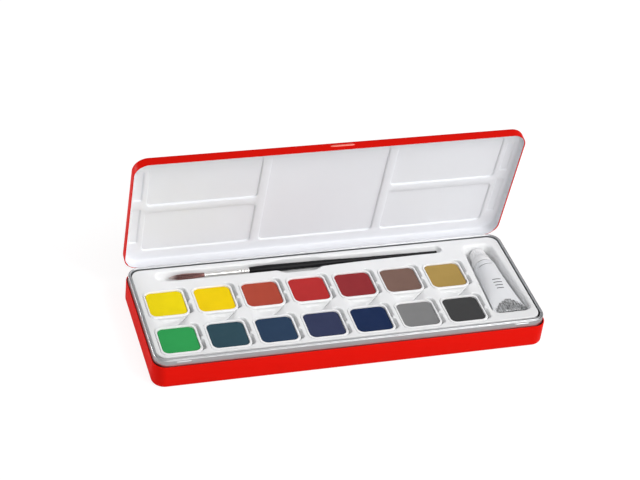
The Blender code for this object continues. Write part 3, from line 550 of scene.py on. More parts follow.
hinge_curls()
pin_steel = grained(
    "pin_steel_wire", (0.50, 0.50, 0.51), 0.35, (0.85, 1.05, 0.0008, (6, 1, 1)),
    (0.28, 0.45, 0.001), metallic=1.0)
for pin in ("hinge_pin_left", "hinge_pin_right"):
    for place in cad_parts[pin].material_slots:
        place.material = pin_steel


# Lid
# One drawn tinplate sheet, red outside and white enamel inside, open as the mixing palette.
# Five wells and narrow end strips are pressed outward, so ridges stay between them. The skirt's edge
# is folded back inside, and its front carries a thumb bead.

LID_RIM = WALL_HEIGHT + 0.0003
LID_TOP = 0.0236
LID_ROUND = 0.0020
LID_HEM = 0.0007
HEM_HEIGHT = 0.0022
WELL_DEPTH = 0.0012
WELL_RUN = 0.0008
WELL_CORNER = 0.0035
LOW_WELLS = (0.0453, 0.0083)
HIGH_WELLS = (0.0885, 0.0505)
MIDDLE_WELL = 0.0400
SIDE_WELLS = (0.0445, 0.1185)
STRIP_DEPTH = 0.0009
STRIP_CORNER = 0.0015
STRIP_RUN = 0.0012
STRIP_SIDES = (0.1205, 0.1272)
STRIP_ENDS = ((0.0165, 0.0490), (0.0560, 0.0830))
SEAM_HEIGHT = 0.002
HEM_SUNK = 0.00002
HEM_TUCK = 0.0002
RED_EDGE = 0.0007
REAR_RIM = 0.004
REAR_RIM_OUTSIDE = 0.00005
REAR_RIM_UNDER = 0.00034
REAR_RIM_END = 0.002
BEAD_AT = 0.00425
BEAD_LENGTH = 0.0165
BEAD_RISE = 0.00050
BEAD_HALF = 0.00075
BEAD_SUNK = 0.00003
BEAD_LOWER = 0.0001


white_enamel = grained(
    "white_enamel", (0.810, 0.820, 0.852), 0.36, (0.99, 1.01, 0.040), (0.32, 0.42, 0.005),
    (0.000001, 0.0014), specular=0.25)


def pressed_field(shape, span, reach, corner, depth, run):
    """A field pressed out of the closed lid's flat top with soft shoulders; returns its mouth."""
    rings = []
    steps = 8
    for step in range(steps + 1):
        t = step / steps
        rise = depth * (t * t * (3 - 2 * t))
        inset = run * t
        rings.append(rounded_ring(
            span[0] + inset, span[1] - inset, reach[0] + inset, reach[1] - inset,
            max(corner - inset * 0.8, LEAST_CORNER), LID_TOP + rise, 8))
    rows = lofted(shape, rings)
    shape.faces.new(rows[-1])
    return rows[0]


def before_rear(distance):
    """World Y on the closed lid at a distance from its rear face."""
    return TIN_HALF.y - distance


def lid_fields():
    low = tuple(before_rear(distance) for distance in LOW_WELLS)
    high = tuple(before_rear(distance) for distance in HIGH_WELLS)
    yield (-MIDDLE_WELL, MIDDLE_WELL), (high[0], low[1]), WELL_CORNER, WELL_DEPTH, WELL_RUN
    for side in (-1, 1):
        span = tuple(sorted(side * x for x in SIDE_WELLS))
        yield span, low, WELL_CORNER, WELL_DEPTH, WELL_RUN
        yield span, high, WELL_CORNER, WELL_DEPTH, WELL_RUN
        strip = tuple(sorted(side * x for x in STRIP_SIDES))
        for start, end in STRIP_ENDS:
            yield strip, (before_rear(end), before_rear(start)), STRIP_CORNER, STRIP_DEPTH, STRIP_RUN


def at_rear_rim(place):
    """The white enamel runs out over the rim along the hinge side."""
    under = place.y < TIN_HALF.y - REAR_RIM_OUTSIDE or place.z < LID_RIM + REAR_RIM_UNDER
    return under and place.y > TIN_HALF.y - REAR_RIM and abs(place.x) < TIN_HALF.x - REAR_RIM_END


def lid_sheet():
    shape = bmesh.new()
    heights = (LID_RIM, LID_RIM + RED_EDGE, LID_RIM + SEAM_HEIGHT, LID_TOP - LID_ROUND)
    profile = [(0, z) for z in heights]
    profile += bend(LID_ROUND, LID_TOP - LID_ROUND, LID_ROUND, 180, 90, 8)[1:]
    rows = lofted(shape, [tin_ring(inset, z) for inset, z in profile])
    mouths = [rows[-1]]
    for field in lid_fields():
        mouths.append(pressed_field(shape, *field))
    edges = []
    for mouth in mouths:
        for index, corner in enumerate(mouth):
            edges.append(shape.edges.get((corner, mouth[(index + 1) % len(mouth)])))
    bmesh.ops.triangle_fill(shape, edges=edges, use_beauty=True, normal=(0, 0, 1))
    face_out(shape)
    tops = [face for face in shape.faces if abs(face.normal.z) > 0.9]
    if sum(face.normal.z for face in tops) < 0:
        bmesh.ops.reverse_faces(shape, faces=shape.faces)
    made = finished("lid_sheet", shape, [red_enamel, white_enamel], 60)
    sheet = made.modifiers.new("sheet", "SOLIDIFY")
    sheet.thickness = SHEET
    sheet.offset = -1
    sheet.use_even_offset = True
    sheet.use_quality_normals = True
    sheet.material_offset = 1
    graph = bpy.context.evaluated_depsgraph_get()
    solid = bpy.data.meshes.new_from_object(made.evaluated_get(graph))
    made.modifiers.clear()
    made.data = solid
    for face in solid.polygons:
        if face.center.z < LID_RIM + RED_EDGE and not at_rear_rim(face.center):
            face.material_index = 0
    solid.transform(opening())
    solid.set_sharp_from_angle(angle=radians(50))
    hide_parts("lid_shell")
    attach(made, "lid")


def lid_hem():
    """The skirt's edge is folded back inside on itself."""
    half = LID_HEM / 2
    profile = [(HEM_SUNK, LID_RIM + HEM_HEIGHT), (HEM_SUNK, LID_RIM + half)]
    profile += bend(half, LID_RIM + half, half, 180, 360, 10)
    profile += [(LID_HEM, LID_RIM + HEM_HEIGHT - HEM_TUCK), (LID_HEM - HEM_TUCK, LID_RIM + HEM_HEIGHT)]
    shape = bmesh.new()
    rows = lofted(shape, [tin_ring(inset, z) for inset, z in profile])
    band(shape, rows[-1], rows[0])
    face_out(shape)
    for face in shape.faces:
        middle = face.calc_center_median()
        inset = min(TIN_HALF.x - abs(middle.x), TIN_HALF.y - abs(middle.y))
        if (inset > half and middle.z > LID_RIM + RED_EDGE) or at_rear_rim(middle):
            face.material_index = 1
    opened(shape)
    made = finished("lid_hem", shape, [red_enamel, white_enamel], 60)
    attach(made, "lid")


# The bead's enamel is painted a lighter red as a painted highlight along its ridge; its higher specular is
# real gloss.
highlight_bead_enamel = grained(
    "bead_enamel_painted_highlight", (0.80, 0.20, 0.15), 0.24, (0.85, 1.15, 0.004, (4, 1, 1)),
    (0.20, 0.30, 0.002), specular=0.6)


def thumb_bead():
    """A low rounded bar pressed out of the skirt's front, tapered at its ends."""
    shape = bmesh.new()
    rows = []
    along = 30
    middle = (LID_RIM + LID_TOP) / 2 - BEAD_LOWER
    for step in range(along + 1):
        t = 2 * step / along - 1
        full = max(1 - abs(t) ** 10, 0.02)
        row = []
        for turn in range(13):
            angle = pi * turn / 12
            row.append(shape.verts.new((
                BEAD_AT + t * BEAD_LENGTH / 2,
                -TIN_HALF.y - BEAD_RISE * full * sin(angle) + BEAD_SUNK,
                middle + BEAD_HALF * full * cos(angle),
            )))
        rows.append(row)
    sheet_rows(shape, rows)
    face_out(shape)
    opened(shape)
    made = finished("thumb_bead", shape, [highlight_bead_enamel])
    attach(made, "lid")


lid_sheet()
lid_hem()
thumb_bead()


# Paint tray
# One white formed sheet: a pocket for each pan with a finger recess at its right, a brush groove
# with a scoop, and a pocket for the tube. Its skirt stands inside the neck, down to the floor.

DECK = 0.0201
TRAY_EDGE = 0.0031
TRAY_FRONT = 0.0024
PAN_PITCH = Vector((0.03146, 0.03595))
PAN_FIRST = Vector((-0.11048, -0.02712))
CUP_HALF = Vector((0.0132, 0.0133))
CUP_CORNER = 0.0043
GAP = 0.0003
PAN_GAP = 0.00006
RECESS = 0.0023
RECESS_BEYOND = 0.0026
RECESS_ENDS = (-0.0128, CUP_HALF.y + RECESS_BEYOND + 0.0006)
RECESS_RUN = 0.0030
RECESS_TURN = (0.0052, 0.0040)
NUB_AT = -0.0003
NUB_HALF = 0.00135
NUB_SHARE = 0.62
VALLEY_DEPTH = 0.0032
VALLEY_SHOULDER = 0.0012
VALLEY_REACH = 0.76
VALLEY_FADE = 0.55
TRAY_ROUND = 0.0008
TRAY_FOOT = 0.0013
DECK_STEP = 0.0018
DECK_MARGIN = 0.0016
SETTLED = 0.006


tray_plastic = grained(
    "tray_plastic", (0.86, 0.865, 0.87), 0.42, (0.985, 1.01, 0.030), (0.36, 0.48, 0.006),
    (0.000006, 0.0009), specular=0.25)


def smooth_step(t):
    t = min(max(t, 0.0), 1.0)
    return t * t * (3 - 2 * t)


def within(value, low, high, run):
    """One between low and high, falling smoothly to nothing over a run inside each."""
    return smooth_step((value - low) / run) * smooth_step((high - value) / run)


def pan_places():
    for row in (1, 0):
        for column in range(7):
            yield PAN_FIRST + Vector((column * PAN_PITCH.x, row * PAN_PITCH.y))


def deck_height(x, y):
    """The deck dips between the two rows of pans and stays high where four pans meet."""
    nearest = round((x - PAN_FIRST.x) / PAN_PITCH.x)
    nearest = min(max(nearest, 0), 6)
    away = (x - PAN_FIRST.x - nearest * PAN_PITCH.x) / (PAN_PITCH.x / 2)
    middle = PAN_FIRST.y + PAN_PITCH.y / 2
    edge = PAN_PITCH.y / 2 - CUP_HALF.y
    inside = smooth_step((edge + VALLEY_SHOULDER - abs(y - middle)) / VALLEY_SHOULDER)
    along = smooth_step((VALLEY_REACH - abs(away)) / VALLEY_FADE)
    return DECK - VALLEY_DEPTH * inside * along


def recess_out(y):
    """Share of the finger recess's width at a height on the pan's side, with a nub halfway."""
    nub = exp(-(((y - NUB_AT) / NUB_HALF) ** 4))
    return within(y, *RECESS_ENDS, RECESS_RUN) * (1 - NUB_SHARE * nub)


def pocket_ring(centre, grow, recess):
    """Outline of a pan's pocket, let out at the right and beyond the right rear corner."""
    half_x, half_y = CUP_HALF.x + PAN_GAP + grow, CUP_HALF.y + PAN_GAP + grow
    corner = CUP_CORNER + grow
    ring = []
    base = rounded_ring(-half_x, half_x, -half_y, half_y, corner, 0, 8)
    straight, parts = half_y - corner, 26
    side = [Vector((half_x, straight * (2 * t / parts - 1), 0)) for t in range(1, parts)]
    for point in base + side:
        x, y = point.x, point.y
        right = smooth_step((x - half_x + corner) / corner)
        if y > 0:
            turn = smooth_step((x - half_x + RECESS_TURN[0]) / RECESS_TURN[1])
            y += RECESS_BEYOND * recess * turn * smooth_step(y / half_y * 2 - 1)
        x += RECESS * recess * right * recess_out(y)
        ring.append((centre.x + x, centre.y + y))
    return ring


# How far each ring down a pocket is let out, its share of the finger recess, and its drop.
POCKET_STEPS = (
    (0.00026, 1.12, 0.0), (0.00016, 1.09, 0.00005), (0.00008, 1.06, 0.00015), (0.00003, 1.03, 0.00032),
    (0.00000, 1.00, 0.00060), (0.0, 0.98, 0.0012), (0.0, 0.96, 0.0022), (0.0, 0.93, 0.0036),
    (0.0, 0.88, 0.0052), (0.0, 0.70, 0.0068), (0.0, 0.02, 0.0076), (0.0, 0.0, 0.0111),
)
BRUSH_Y = 0.0365
GROOVE_FRONT = 0.0052
GROOVE_REAR = 0.0042
GROOVE_NARROWING = 0.0019
GROOVE_ENDS = (-0.1120, 0.0848)
GROOVE_PARTS = 90
NARROWING_FROM = -0.0006
NARROWING_RATE = 2.2
BULGE = 0.0016
BULGE_ENDS = (-0.0350, 0.0030)
BULGE_RUN = 0.009
SCOOP = 0.0033
SCOOP_ENDS = (-0.0318, -0.0002)
SCOOP_RUN = 0.0068


def groove_ring(grow):
    """Outline of the brush groove, narrower toward the tail, with a finger scoop across it."""
    rear, front = BRUSH_Y + GROOVE_REAR + grow, BRUSH_Y - GROOVE_FRONT - grow
    left_half = (GROOVE_REAR + GROOVE_FRONT) / 2
    right_half = left_half - GROOVE_NARROWING / 2
    left, right = GROOVE_ENDS[0] + left_half, GROOVE_ENDS[1] - right_half
    left_half += grow
    right_half += grow
    ring = []
    for t in range(19):
        angle = pi * t / 18 - pi / 2
        ring.append((right + right_half * cos(angle), rear - right_half * (1 - sin(angle))))
    for t in range(1, GROOVE_PARTS):
        x = right + (left - right) * t / GROOVE_PARTS
        ring.append((x, rear + BULGE * within(x, *BULGE_ENDS, BULGE_RUN)))
    for t in range(19):
        angle = pi / 2 + pi * t / 18
        ring.append((left + left_half * cos(angle), front + left_half * (1 + sin(angle))))
    for t in range(1, GROOVE_PARTS):
        x = left + (right - left) * t / GROOVE_PARTS
        dip = within(x, SCOOP_ENDS[0] - grow, SCOOP_ENDS[1] + grow, SCOOP_RUN)
        along = max(x - NARROWING_FROM, 0) / (right - NARROWING_FROM)
        narrowed = (1 - exp(-NARROWING_RATE * along)) / (1 - exp(-NARROWING_RATE))
        ring.append((x, front + GROOVE_NARROWING * narrowed - SCOOP * dip))
    return ring


# How far each ring down the groove is let out, and its drop.
GROOVE_STEPS = (
    (0.0008, 0.0), (0.0005, 0.00005), (0.00022, 0.0002), (0.0, 0.0005), (-0.00014, 0.0009),
    (-0.0003, 0.0017), (-0.0006, 0.0028), (-0.0012, 0.0039), (-0.0021, 0.0047), (-0.0032, 0.0051),
)
TUBE_POCKET_X = (0.0969, 0.1236)
TUBE_POCKET_Y = (-0.0355, 0.0388)
TUBE_POCKET_CORNER = 0.0060
TUBE_POCKET_TAPER = 0.135
CREASE = ((0.0100, -0.0006), (0.0018, -0.0055))
CREASE_DEPTH = 0.0011
CREASE_HALF = 0.00034


def tube_pocket_ring(inset):
    """Outline of the tube's pocket, wider toward the folded end."""
    x_low, x_high = TUBE_POCKET_X
    y_low, y_high = TUBE_POCKET_Y
    middle = Vector(((x_low + x_high) / 2, (y_low + y_high) / 2))
    corner = max(TUBE_POCKET_CORNER - inset * 0.6, 0.001)
    ring = rounded_ring(x_low + inset, x_high - inset, y_low + inset, y_high - inset, corner, 0, 12)
    widened = []
    for point in ring:
        share = 1 + TUBE_POCKET_TAPER * (middle.y - point.y) / ((y_high - y_low) / 2)
        widened.append((middle.x + (point.x - middle.x) * share, point.y))
    return widened


# How far each ring down the tube's pocket is drawn in, and its drop.
TUBE_POCKET_STEPS = (
    (-0.0003, 0.0), (0.0003, 0.00006), (0.0009, 0.0003), (0.0014, 0.0008), (0.0017, 0.0016),
    (0.0020, 0.0040), (0.0022, 0.0080), (0.0025, 0.0115), (0.0032, 0.0136), (0.0046, 0.0144),
)


def creases():
    """Short slanting folds in the formed sheet at each rear pan's lower right corner."""
    for column in range(7):
        x = PAN_FIRST.x + column * PAN_PITCH.x
        y = PAN_FIRST.y + PAN_PITCH.y - CUP_HALF.y
        yield tuple(Vector((x + right, y + back)) for right, back in CREASE)


def crease_drop(x, y):
    drop = 0.0
    for start, end in creases():
        line = end - start
        t = (Vector((x, y)) - start).dot(line) / line.length_squared
        if -0.2 < t < 1.2:
            aside = (Vector((x, y)) - start - line * t).length
            along = smooth_step((t + 0.2) / 0.4) * smooth_step((1.2 - t) / 0.6)
            drop += CREASE_DEPTH * exp(-((aside / CREASE_HALF) ** 2)) * along
    return drop


def winding_inside(ring, x, y):
    """Whether a place lies inside a closed outline."""
    inside = False
    x1, y1 = ring[-1]
    for x2, y2 in ring:
        if (y1 > y) != (y2 > y) and x < (x2 - x1) * (y - y1) / (y2 - y1) + x1:
            inside = not inside
        x1, y1 = x2, y2
    return inside


def paint_tray():
    shape = bmesh.new()
    mouths = []
    for centre in pan_places():
        mouths.append([pocket_ring(centre, grow, recess) for grow, recess, drop in POCKET_STEPS])
    steps = [POCKET_STEPS] * len(mouths) + [GROOVE_STEPS, TUBE_POCKET_STEPS]
    drops = [[step[-1] for step in each] for each in steps]
    mouths.append([groove_ring(grow) for grow, drop in GROOVE_STEPS])
    mouths.append([tube_pocket_ring(inset) for inset, drop in TUBE_POCKET_STEPS])
    rim_ring = front_ring(TRAY_EDGE + TRAY_ROUND, 0, TIN_CORNER, TRAY_FRONT)
    outer = [(point.x, point.y) for point in rim_ring]

    def on_deck(x, y):
        return winding_inside(outer, x, y) and not any(winding_inside(rings[0], x, y) for rings in mouths)

    places, fixed, outlines = [], [], [outer] + [rings[0] for rings in mouths]
    for outline in outlines:
        first = len(places)
        places += [Vector(point) for point in outline]
        count = len(outline)
        fixed += [(first + index, first + (index + 1) % count) for index in range(count)]
    for start, end in creases():
        line = (end - start)
        aside = Vector((-line.y, line.x)).normalized()
        for offset in (-0.0007, -0.00035, 0, 0.00035, 0.0007):
            for t in range(-1, 12):
                places.append(start + line * t / 9 + aside * offset)
    for column in range(-70, 71):
        for row in range(-25, 26):
            places.append(Vector((column * DECK_STEP, row * DECK_STEP)))
    kept = places[: sum(len(outline) for outline in outlines)]
    inner_x, inner_y = TIN_HALF.x - TRAY_EDGE - DECK_MARGIN, TIN_HALF.y - TRAY_EDGE - DECK_MARGIN
    for place in places[len(kept):]:
        if abs(place.x) <= inner_x and abs(place.y) <= inner_y and on_deck(place.x, place.y):
            kept.append(place)
    points, _, faces, origins, _, _ = delaunay_2d_cdt(kept, fixed, [], 0, 1e-7)
    corners = []
    for point in points:
        z = deck_height(point.x, point.y) - crease_drop(point.x, point.y)
        corners.append(shape.verts.new((point.x, point.y, z)))
    where = {}
    for index, sources in enumerate(origins):
        for source in sources:
            where[source] = corners[index]
    for face in faces:
        x = sum(points[i].x for i in face) / 3
        y = sum(points[i].y for i in face) / 3
        if on_deck(x, y):
            shape.faces.new([corners[i] for i in face])

    first = len(outer)
    rim = [where[index] for index in range(first)]
    skirt = [rim]
    profile = bend(TRAY_EDGE + TRAY_ROUND, DECK - TRAY_ROUND, TRAY_ROUND, 90, 180, 5)[1:]
    for inset, z in profile + [(TRAY_EDGE, TRAY_FOOT)]:
        skirt.append([shape.verts.new(point) for point in front_ring(inset, z, TIN_CORNER, TRAY_FRONT)])
    for upper, lower in zip(skirt, skirt[1:]):
        band(shape, lower, upper)
    for rings, depths in zip(mouths, drops):
        count = len(rings[0])
        last = [where[first + index] for index in range(count)]
        first += count
        top = [corner.co.z for corner in last]
        for ring, drop in zip(rings[1:], depths[1:]):
            settle = smooth_step(drop / SETTLED)
            row = [
                shape.verts.new((x, y, z * (1 - settle) + DECK * settle - drop))
                for (x, y), z in zip(ring, top)
            ]
            band(shape, last, row)
            last = row
        shape.faces.new(last)
    face_out(shape)
    if sum(face.normal.z * face.calc_area() for face in shape.faces) < 0:
        bmesh.ops.reverse_faces(shape, faces=shape.faces)
    made = finished("formed_tray", shape, [tray_plastic], 70)
    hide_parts("paint_tray")
    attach(made, "base")


paint_tray()


# Pans
# Fourteen moulded white cups, each filled with matt gouache poured to a little below the rim.
# The paint dries with a soft edge and a faintly dished, slightly uneven face.

CUP_TOP = 0.0205
CUP_BOTTOM = 0.0093
CUP_TAPER = 0.0005
CUP_FOOT = 0.0008
CUP_LIP = 0.00036
CAKE_HALF = Vector((0.01175, 0.01185))
CAKE_CORNER = 0.0039
CAKE_TOP = 0.0197
CAKE_BOTTOM = CUP_BOTTOM + 0.0014
CAKE_EDGE = 0.0004
CAKE_DISH = 0.00018
CAKE_TILT = 0.004
PAINTS = (
    ("lemon_yellow", (0.880, 0.700, 0.002)), ("golden_yellow", (0.900, 0.635, 0.0005)),
    ("orange_brown", (0.440, 0.066, 0.038)), ("scarlet", (0.480, 0.028, 0.028)),
    ("carmine", (0.290, 0.027, 0.032)), ("umber", (0.200, 0.118, 0.094)),
    ("ochre", (0.425, 0.282, 0.080)), ("emerald", (0.030, 0.355, 0.090)),
    ("bottle_green", (0.028, 0.070, 0.095)), ("steel_blue", (0.022, 0.049, 0.100)),
    ("violet_blue", (0.034, 0.043, 0.100)), ("deep_blue", (0.009, 0.024, 0.082)),
    ("grey", (0.225, 0.225, 0.226)), ("black", (0.055, 0.055, 0.056)),
)


cup_plastic = grained(
    "cup_plastic", (0.88, 0.88, 0.885), 0.34, (0.985, 1.01, 0.010), (0.25, 0.36, 0.003),
    (0.000003, 0.0007), specular=0.3)


def pan_ring(centre, half, inset, corner, z):
    """A ring round a pan's middle, drawn in from the given half sizes."""
    return rounded_ring(
        centre.x - half.x + inset, centre.x + half.x - inset,
        centre.y - half.y + inset, centre.y + half.y - inset, corner, z, 8)


def pan_cup(number, centre):
    rings = [
        pan_ring(centre, CUP_HALF, CUP_TAPER + CUP_FOOT, CUP_CORNER - 0.0010, CUP_BOTTOM),
        pan_ring(centre, CUP_HALF, CUP_TAPER, CUP_CORNER - 0.0004, CUP_BOTTOM + CUP_FOOT),
    ]
    for inset, z in bend(CUP_LIP, CUP_TOP - CUP_LIP, CUP_LIP, 180, 90, 6):
        rings.append(pan_ring(centre, CUP_HALF, inset, CUP_CORNER - inset, z))
    fall = CUP_LIP * 0.8
    for t in range(7):
        angle = pi / 2 * (1 - t / 6)
        out = fall * (1 - cos(angle))
        z = CUP_TOP - fall + fall * sin(angle)
        rings.append(pan_ring(centre, CAKE_HALF, -GAP - out, CAKE_CORNER + GAP + out, z))
    rings.append(pan_ring(centre, CAKE_HALF, 0.0002 - GAP, CAKE_CORNER + GAP, CAKE_TOP - 0.003))
    rings.append(pan_ring(centre, CAKE_HALF, 0.0004 - GAP, CAKE_CORNER, CUP_BOTTOM + 0.0011))
    shape = bmesh.new()
    closed(shape, lofted(shape, rings))
    made = finished(f"cup_{number:02d}", shape, [cup_plastic])
    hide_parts(f"pan_cup_{number:02d}")
    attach(made, f"pan_{number:02d}")


def gouache_cake(number, centre, name, colour):
    chance = random.Random(number)
    rings = [
        pan_ring(centre, CAKE_HALF, CAKE_EDGE, CAKE_CORNER - CAKE_EDGE, CAKE_BOTTOM),
        pan_ring(centre, CAKE_HALF, 0, CAKE_CORNER, CAKE_TOP - 3 * CAKE_EDGE),
    ]
    for inset, z in bend(CAKE_EDGE, CAKE_TOP - CAKE_EDGE, CAKE_EDGE, 180, 90, 5):
        rings.append(pan_ring(centre, CAKE_HALF, inset, CAKE_CORNER - inset, z))
    tilt = Vector((chance.uniform(-1, 1), chance.uniform(-1, 1))) * CAKE_TILT
    for step in range(1, 9):
        share = 1 - step / 9
        half = (CAKE_HALF - Vector((CAKE_EDGE, CAKE_EDGE))) * share
        ring = pan_ring(centre, half, 0, max((CAKE_CORNER - CAKE_EDGE) * share, 0.0002), 0)
        for point in ring:
            away = Vector((point.x - centre.x, point.y - centre.y))
            point.z = CAKE_TOP - CAKE_DISH * (1 - share ** 4) + away.dot(tilt) * (1 - share ** 6)
        rings.append(ring)
    shape = bmesh.new()
    closed(shape, lofted(shape, rings))
    paint = grained(
        "gouache_" + name, colour, 0.70, (0.97, 1.03, 0.009, EVEN, 5), (0.64, 0.78, 0.003),
        (0.000006, 0.0006, EVEN, 6), (0.00002, 0.006), specular=0.12)
    made = finished(f"cake_{number:02d}", shape, [paint], 60)
    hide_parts(f"paint_cake_{number:02d}")
    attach(made, f"pan_{number:02d}")


for number, (centre, (name, colour)) in enumerate(zip(pan_places(), PAINTS), start=1):
    pan_cup(number, centre)
    gouache_cake(number, centre, name, colour)


# Brush
# A round watercolour brush: a pointed tuft of dark hair held in a crimped nickel ferrule
# on a turned wooden handle with black lacquer.

BRUSH_Z = 0.0179
HAIR_TIP = -0.1035
HAIR_ROOT = -0.0796
TUFT_RADIUS = 0.00195
TUFT_SPREAD = (
    (0, 0.70), (0.15, 0.80), (0.34, 0.93), (0.52, 1.0), (0.68, 0.97), (0.82, 0.83), (0.93, 0.58),
)
TUFT_POINT = 0.32
HAIRS = 1100
HAIR_WIDTH = 0.00009
HAIR_STRAY = 0.00006
HAIR_FADED = (0.0006, 0.0070)
HAIR_PALE = (0.80, 0.70, 0.68, 1)
MIX_FACTOR, MIX_FIRST, MIX_SECOND, MIX_RESULT = 0, 6, 7, 2
FERRULE = (-0.0793, -0.0493)
FERRULE_RADII = (0.00165, 0.00205)
FERRULE_EDGE = ((0.00005, 0.00012), (0.0002, 0.0002))
CRIMPS = (-0.0551, -0.0530)
CRIMP_DEPTH = 0.00022
CRIMP_HALF = 0.00038
PLUG_END = -0.0570
PLUG_RADIUS = 0.00110
HANDLE_END = 0.0821
HANDLE_TAIL = 0.0009
HANDLE_KNOTS = (
    (-0.0490, 0.00205), (-0.0455, 0.0023), (-0.0405, 0.0025), (-0.0360, 0.0026), (-0.0270, 0.0025),
    (-0.0180, 0.00235), (0.0040, 0.0021), (0.0144, 0.0018), (0.0250, 0.00152), (0.0450, 0.0013),
    (0.0660, 0.00105), (HANDLE_END - HANDLE_TAIL, HANDLE_TAIL),
)


def hair_finish():
    """Streaked dark hair that turns pale toward its tip."""
    hair = Finish("dark_hair", (0.20, 0.085, 0.075), 0.42)
    hair.shader.inputs["Sheen Weight"].default_value = 0.25
    hair.shader.inputs["Specular IOR Level"].default_value = 0.7
    brown = hair.mottle(hair.grain(0.0010, (14, 1, 1)), 0.30, 2.6)
    apart = hair.add("ShaderNodeSeparateXYZ")
    hair.links.new(hair.place.outputs["Object"], apart.inputs["Vector"])
    faded = hair.add("ShaderNodeMapRange", interpolation_type="SMOOTHSTEP")
    faded.inputs["From Min"].default_value = HAIR_TIP + HAIR_FADED[0]
    faded.inputs["From Max"].default_value = HAIR_TIP + HAIR_FADED[1]
    faded.inputs["To Min"].default_value = 1
    faded.inputs["To Max"].default_value = 0
    hair.links.new(apart.outputs["X"], faded.inputs["Value"])
    pale = hair.add("ShaderNodeMix", data_type="RGBA")
    pale.inputs[MIX_SECOND].default_value = HAIR_PALE
    hair.links.new(faded.outputs["Result"], pale.inputs[MIX_FACTOR])
    hair.links.new(brown, pale.inputs[MIX_FIRST])
    hair.links.new(pale.outputs[MIX_RESULT], hair.shader.inputs["Base Color"])
    hair.rough(hair.grain(0.0006, (8, 1, 1)), 0.32, 0.5)
    return hair.material


nickel = grained(
    "ferrule_nickel", (0.83, 0.82, 0.80), 0.16, (0.95, 1.03, 0.002, (6, 1, 1)),
    (0.20, 0.27, 0.005, (12, 1, 1)), (0.000002, 0.006, (10, 1, 1)), metallic=1.0)
lacquer = grained(
    "black_lacquer", (0.007, 0.007, 0.008), 0.28, (0.7, 1.4, 0.012, (5, 1, 1)),
    (0.24, 0.34, 0.004, (4, 1, 1)), (0.000004, 0.004, (6, 1, 1)), specular=0.14)


def round_ring(x, radius, steps=40):
    """Points round the brush's line, for rings that follow one another toward the handle's end."""
    ring = []
    for step in range(steps):
        angle = tau * step / steps
        ring.append(Vector((x, BRUSH_Y + radius * cos(angle), BRUSH_Z + radius * sin(angle))))
    return ring


def hair_tuft():
    shape = bmesh.new()
    chance = random.Random(7)
    length = HAIR_ROOT - HAIR_TIP
    golden = pi * (3 - sqrt(5))
    for index in range(HAIRS):
        share = sqrt((index + 0.5) / HAIRS)
        turn = index * golden
        across = Vector((0, cos(turn), sin(turn)))
        tip = HAIR_TIP + length * (0.01 + 0.07 * share * share * chance.uniform(0.6, 1.4))
        stray = Vector((0, chance.uniform(-1, 1), chance.uniform(-1, 1))) * HAIR_STRAY
        rows = []
        for t, spread in TUFT_SPREAD:
            x = HAIR_ROOT + (tip - HAIR_ROOT) * t
            middle = Vector((x, BRUSH_Y, BRUSH_Z)) + across * share * TUFT_RADIUS * spread + stray * t * t
            thin = HAIR_WIDTH * (1 - 0.75 * t)
            rows.append([
                shape.verts.new(middle + Vector((0, cos(turn + a), sin(turn + a))) * thin / 2)
                for a in (0, tau / 3, 2 * tau / 3)
            ])
        for lower, upper in zip(rows, rows[1:]):
            band(shape, lower, upper)
        end = Vector((tip, BRUSH_Y, BRUSH_Z)) + across * share * TUFT_RADIUS * TUFT_POINT + stray
        point = shape.verts.new(end)
        for corner in range(3):
            shape.faces.new((rows[-1][corner], rows[-1][(corner + 1) % 3], point))
        shape.faces.new(list(reversed(rows[0])))
    face_out(shape)
    core = (
        (HAIR_ROOT + 0.0006, 0.00135), (HAIR_ROOT, 0.00135),
        (HAIR_ROOT - length * 0.52, 0.0017), (HAIR_ROOT - length * 0.85, 0.0010),
    )
    rows = lofted(shape, [round_ring(x, radius, 24) for x, radius in core])
    shape.faces.new(rows[-1])
    made = finished("hair_tuft", shape, [hair_finish()], 70)
    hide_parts("brush_hair")
    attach(made, "brush")


def crimped_ferrule():
    profile = []
    steps = 120
    for step in range(steps + 1):
        x = FERRULE[0] + (FERRULE[1] - FERRULE[0]) * step / steps
        radius = FERRULE_RADII[0] + (FERRULE_RADII[1] - FERRULE_RADII[0]) * step / steps
        for crimp in CRIMPS:
            radius -= CRIMP_DEPTH * exp(-(((x - crimp) / CRIMP_HALF) ** 2))
        profile.append((x, radius))
    lip = [(FERRULE[0] + back, profile[0][1] - sunk) for back, sunk in reversed(FERRULE_EDGE)]
    tail = [(FERRULE[1] - back, profile[-1][1] - sunk) for back, sunk in FERRULE_EDGE]
    shape = bmesh.new()
    lofted(shape, [round_ring(x, radius) for x, radius in lip + profile + tail])
    made = finished("crimped_ferrule", shape, [nickel])
    bpy.context.view_layer.update()
    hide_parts("brush_ferrule")
    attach(made, "brush")


def turned_handle():
    start = FERRULE[1] + 0.0003
    stations = [(PLUG_END, PLUG_RADIUS - 0.0003), (PLUG_END + 0.0002, PLUG_RADIUS)]
    stations += [(start, PLUG_RADIUS), (start, HANDLE_KNOTS[0][1] - 0.0001)]
    for (x0, r0), (x1, r1) in zip(HANDLE_KNOTS, HANDLE_KNOTS[1:]):
        stations += [(x0 + (x1 - x0) * t / 4, r0 + (r1 - r0) * t / 4) for t in range(4)]
    for angle in (0, 0.35, 0.7, 1.0, 1.25, 1.45):
        stations.append((HANDLE_END - HANDLE_TAIL * (1 - sin(angle)), HANDLE_TAIL * cos(angle)))
    shape = bmesh.new()
    rows = lofted(shape, [round_ring(x, radius) for x, radius in stations])
    closed(shape, rows)
    face_out(shape)
    made = finished("turned_handle", shape, [lacquer])
    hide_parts("brush_handle")
    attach(made, "brush")


hair_tuft()
crimped_ferrule()
turned_handle()
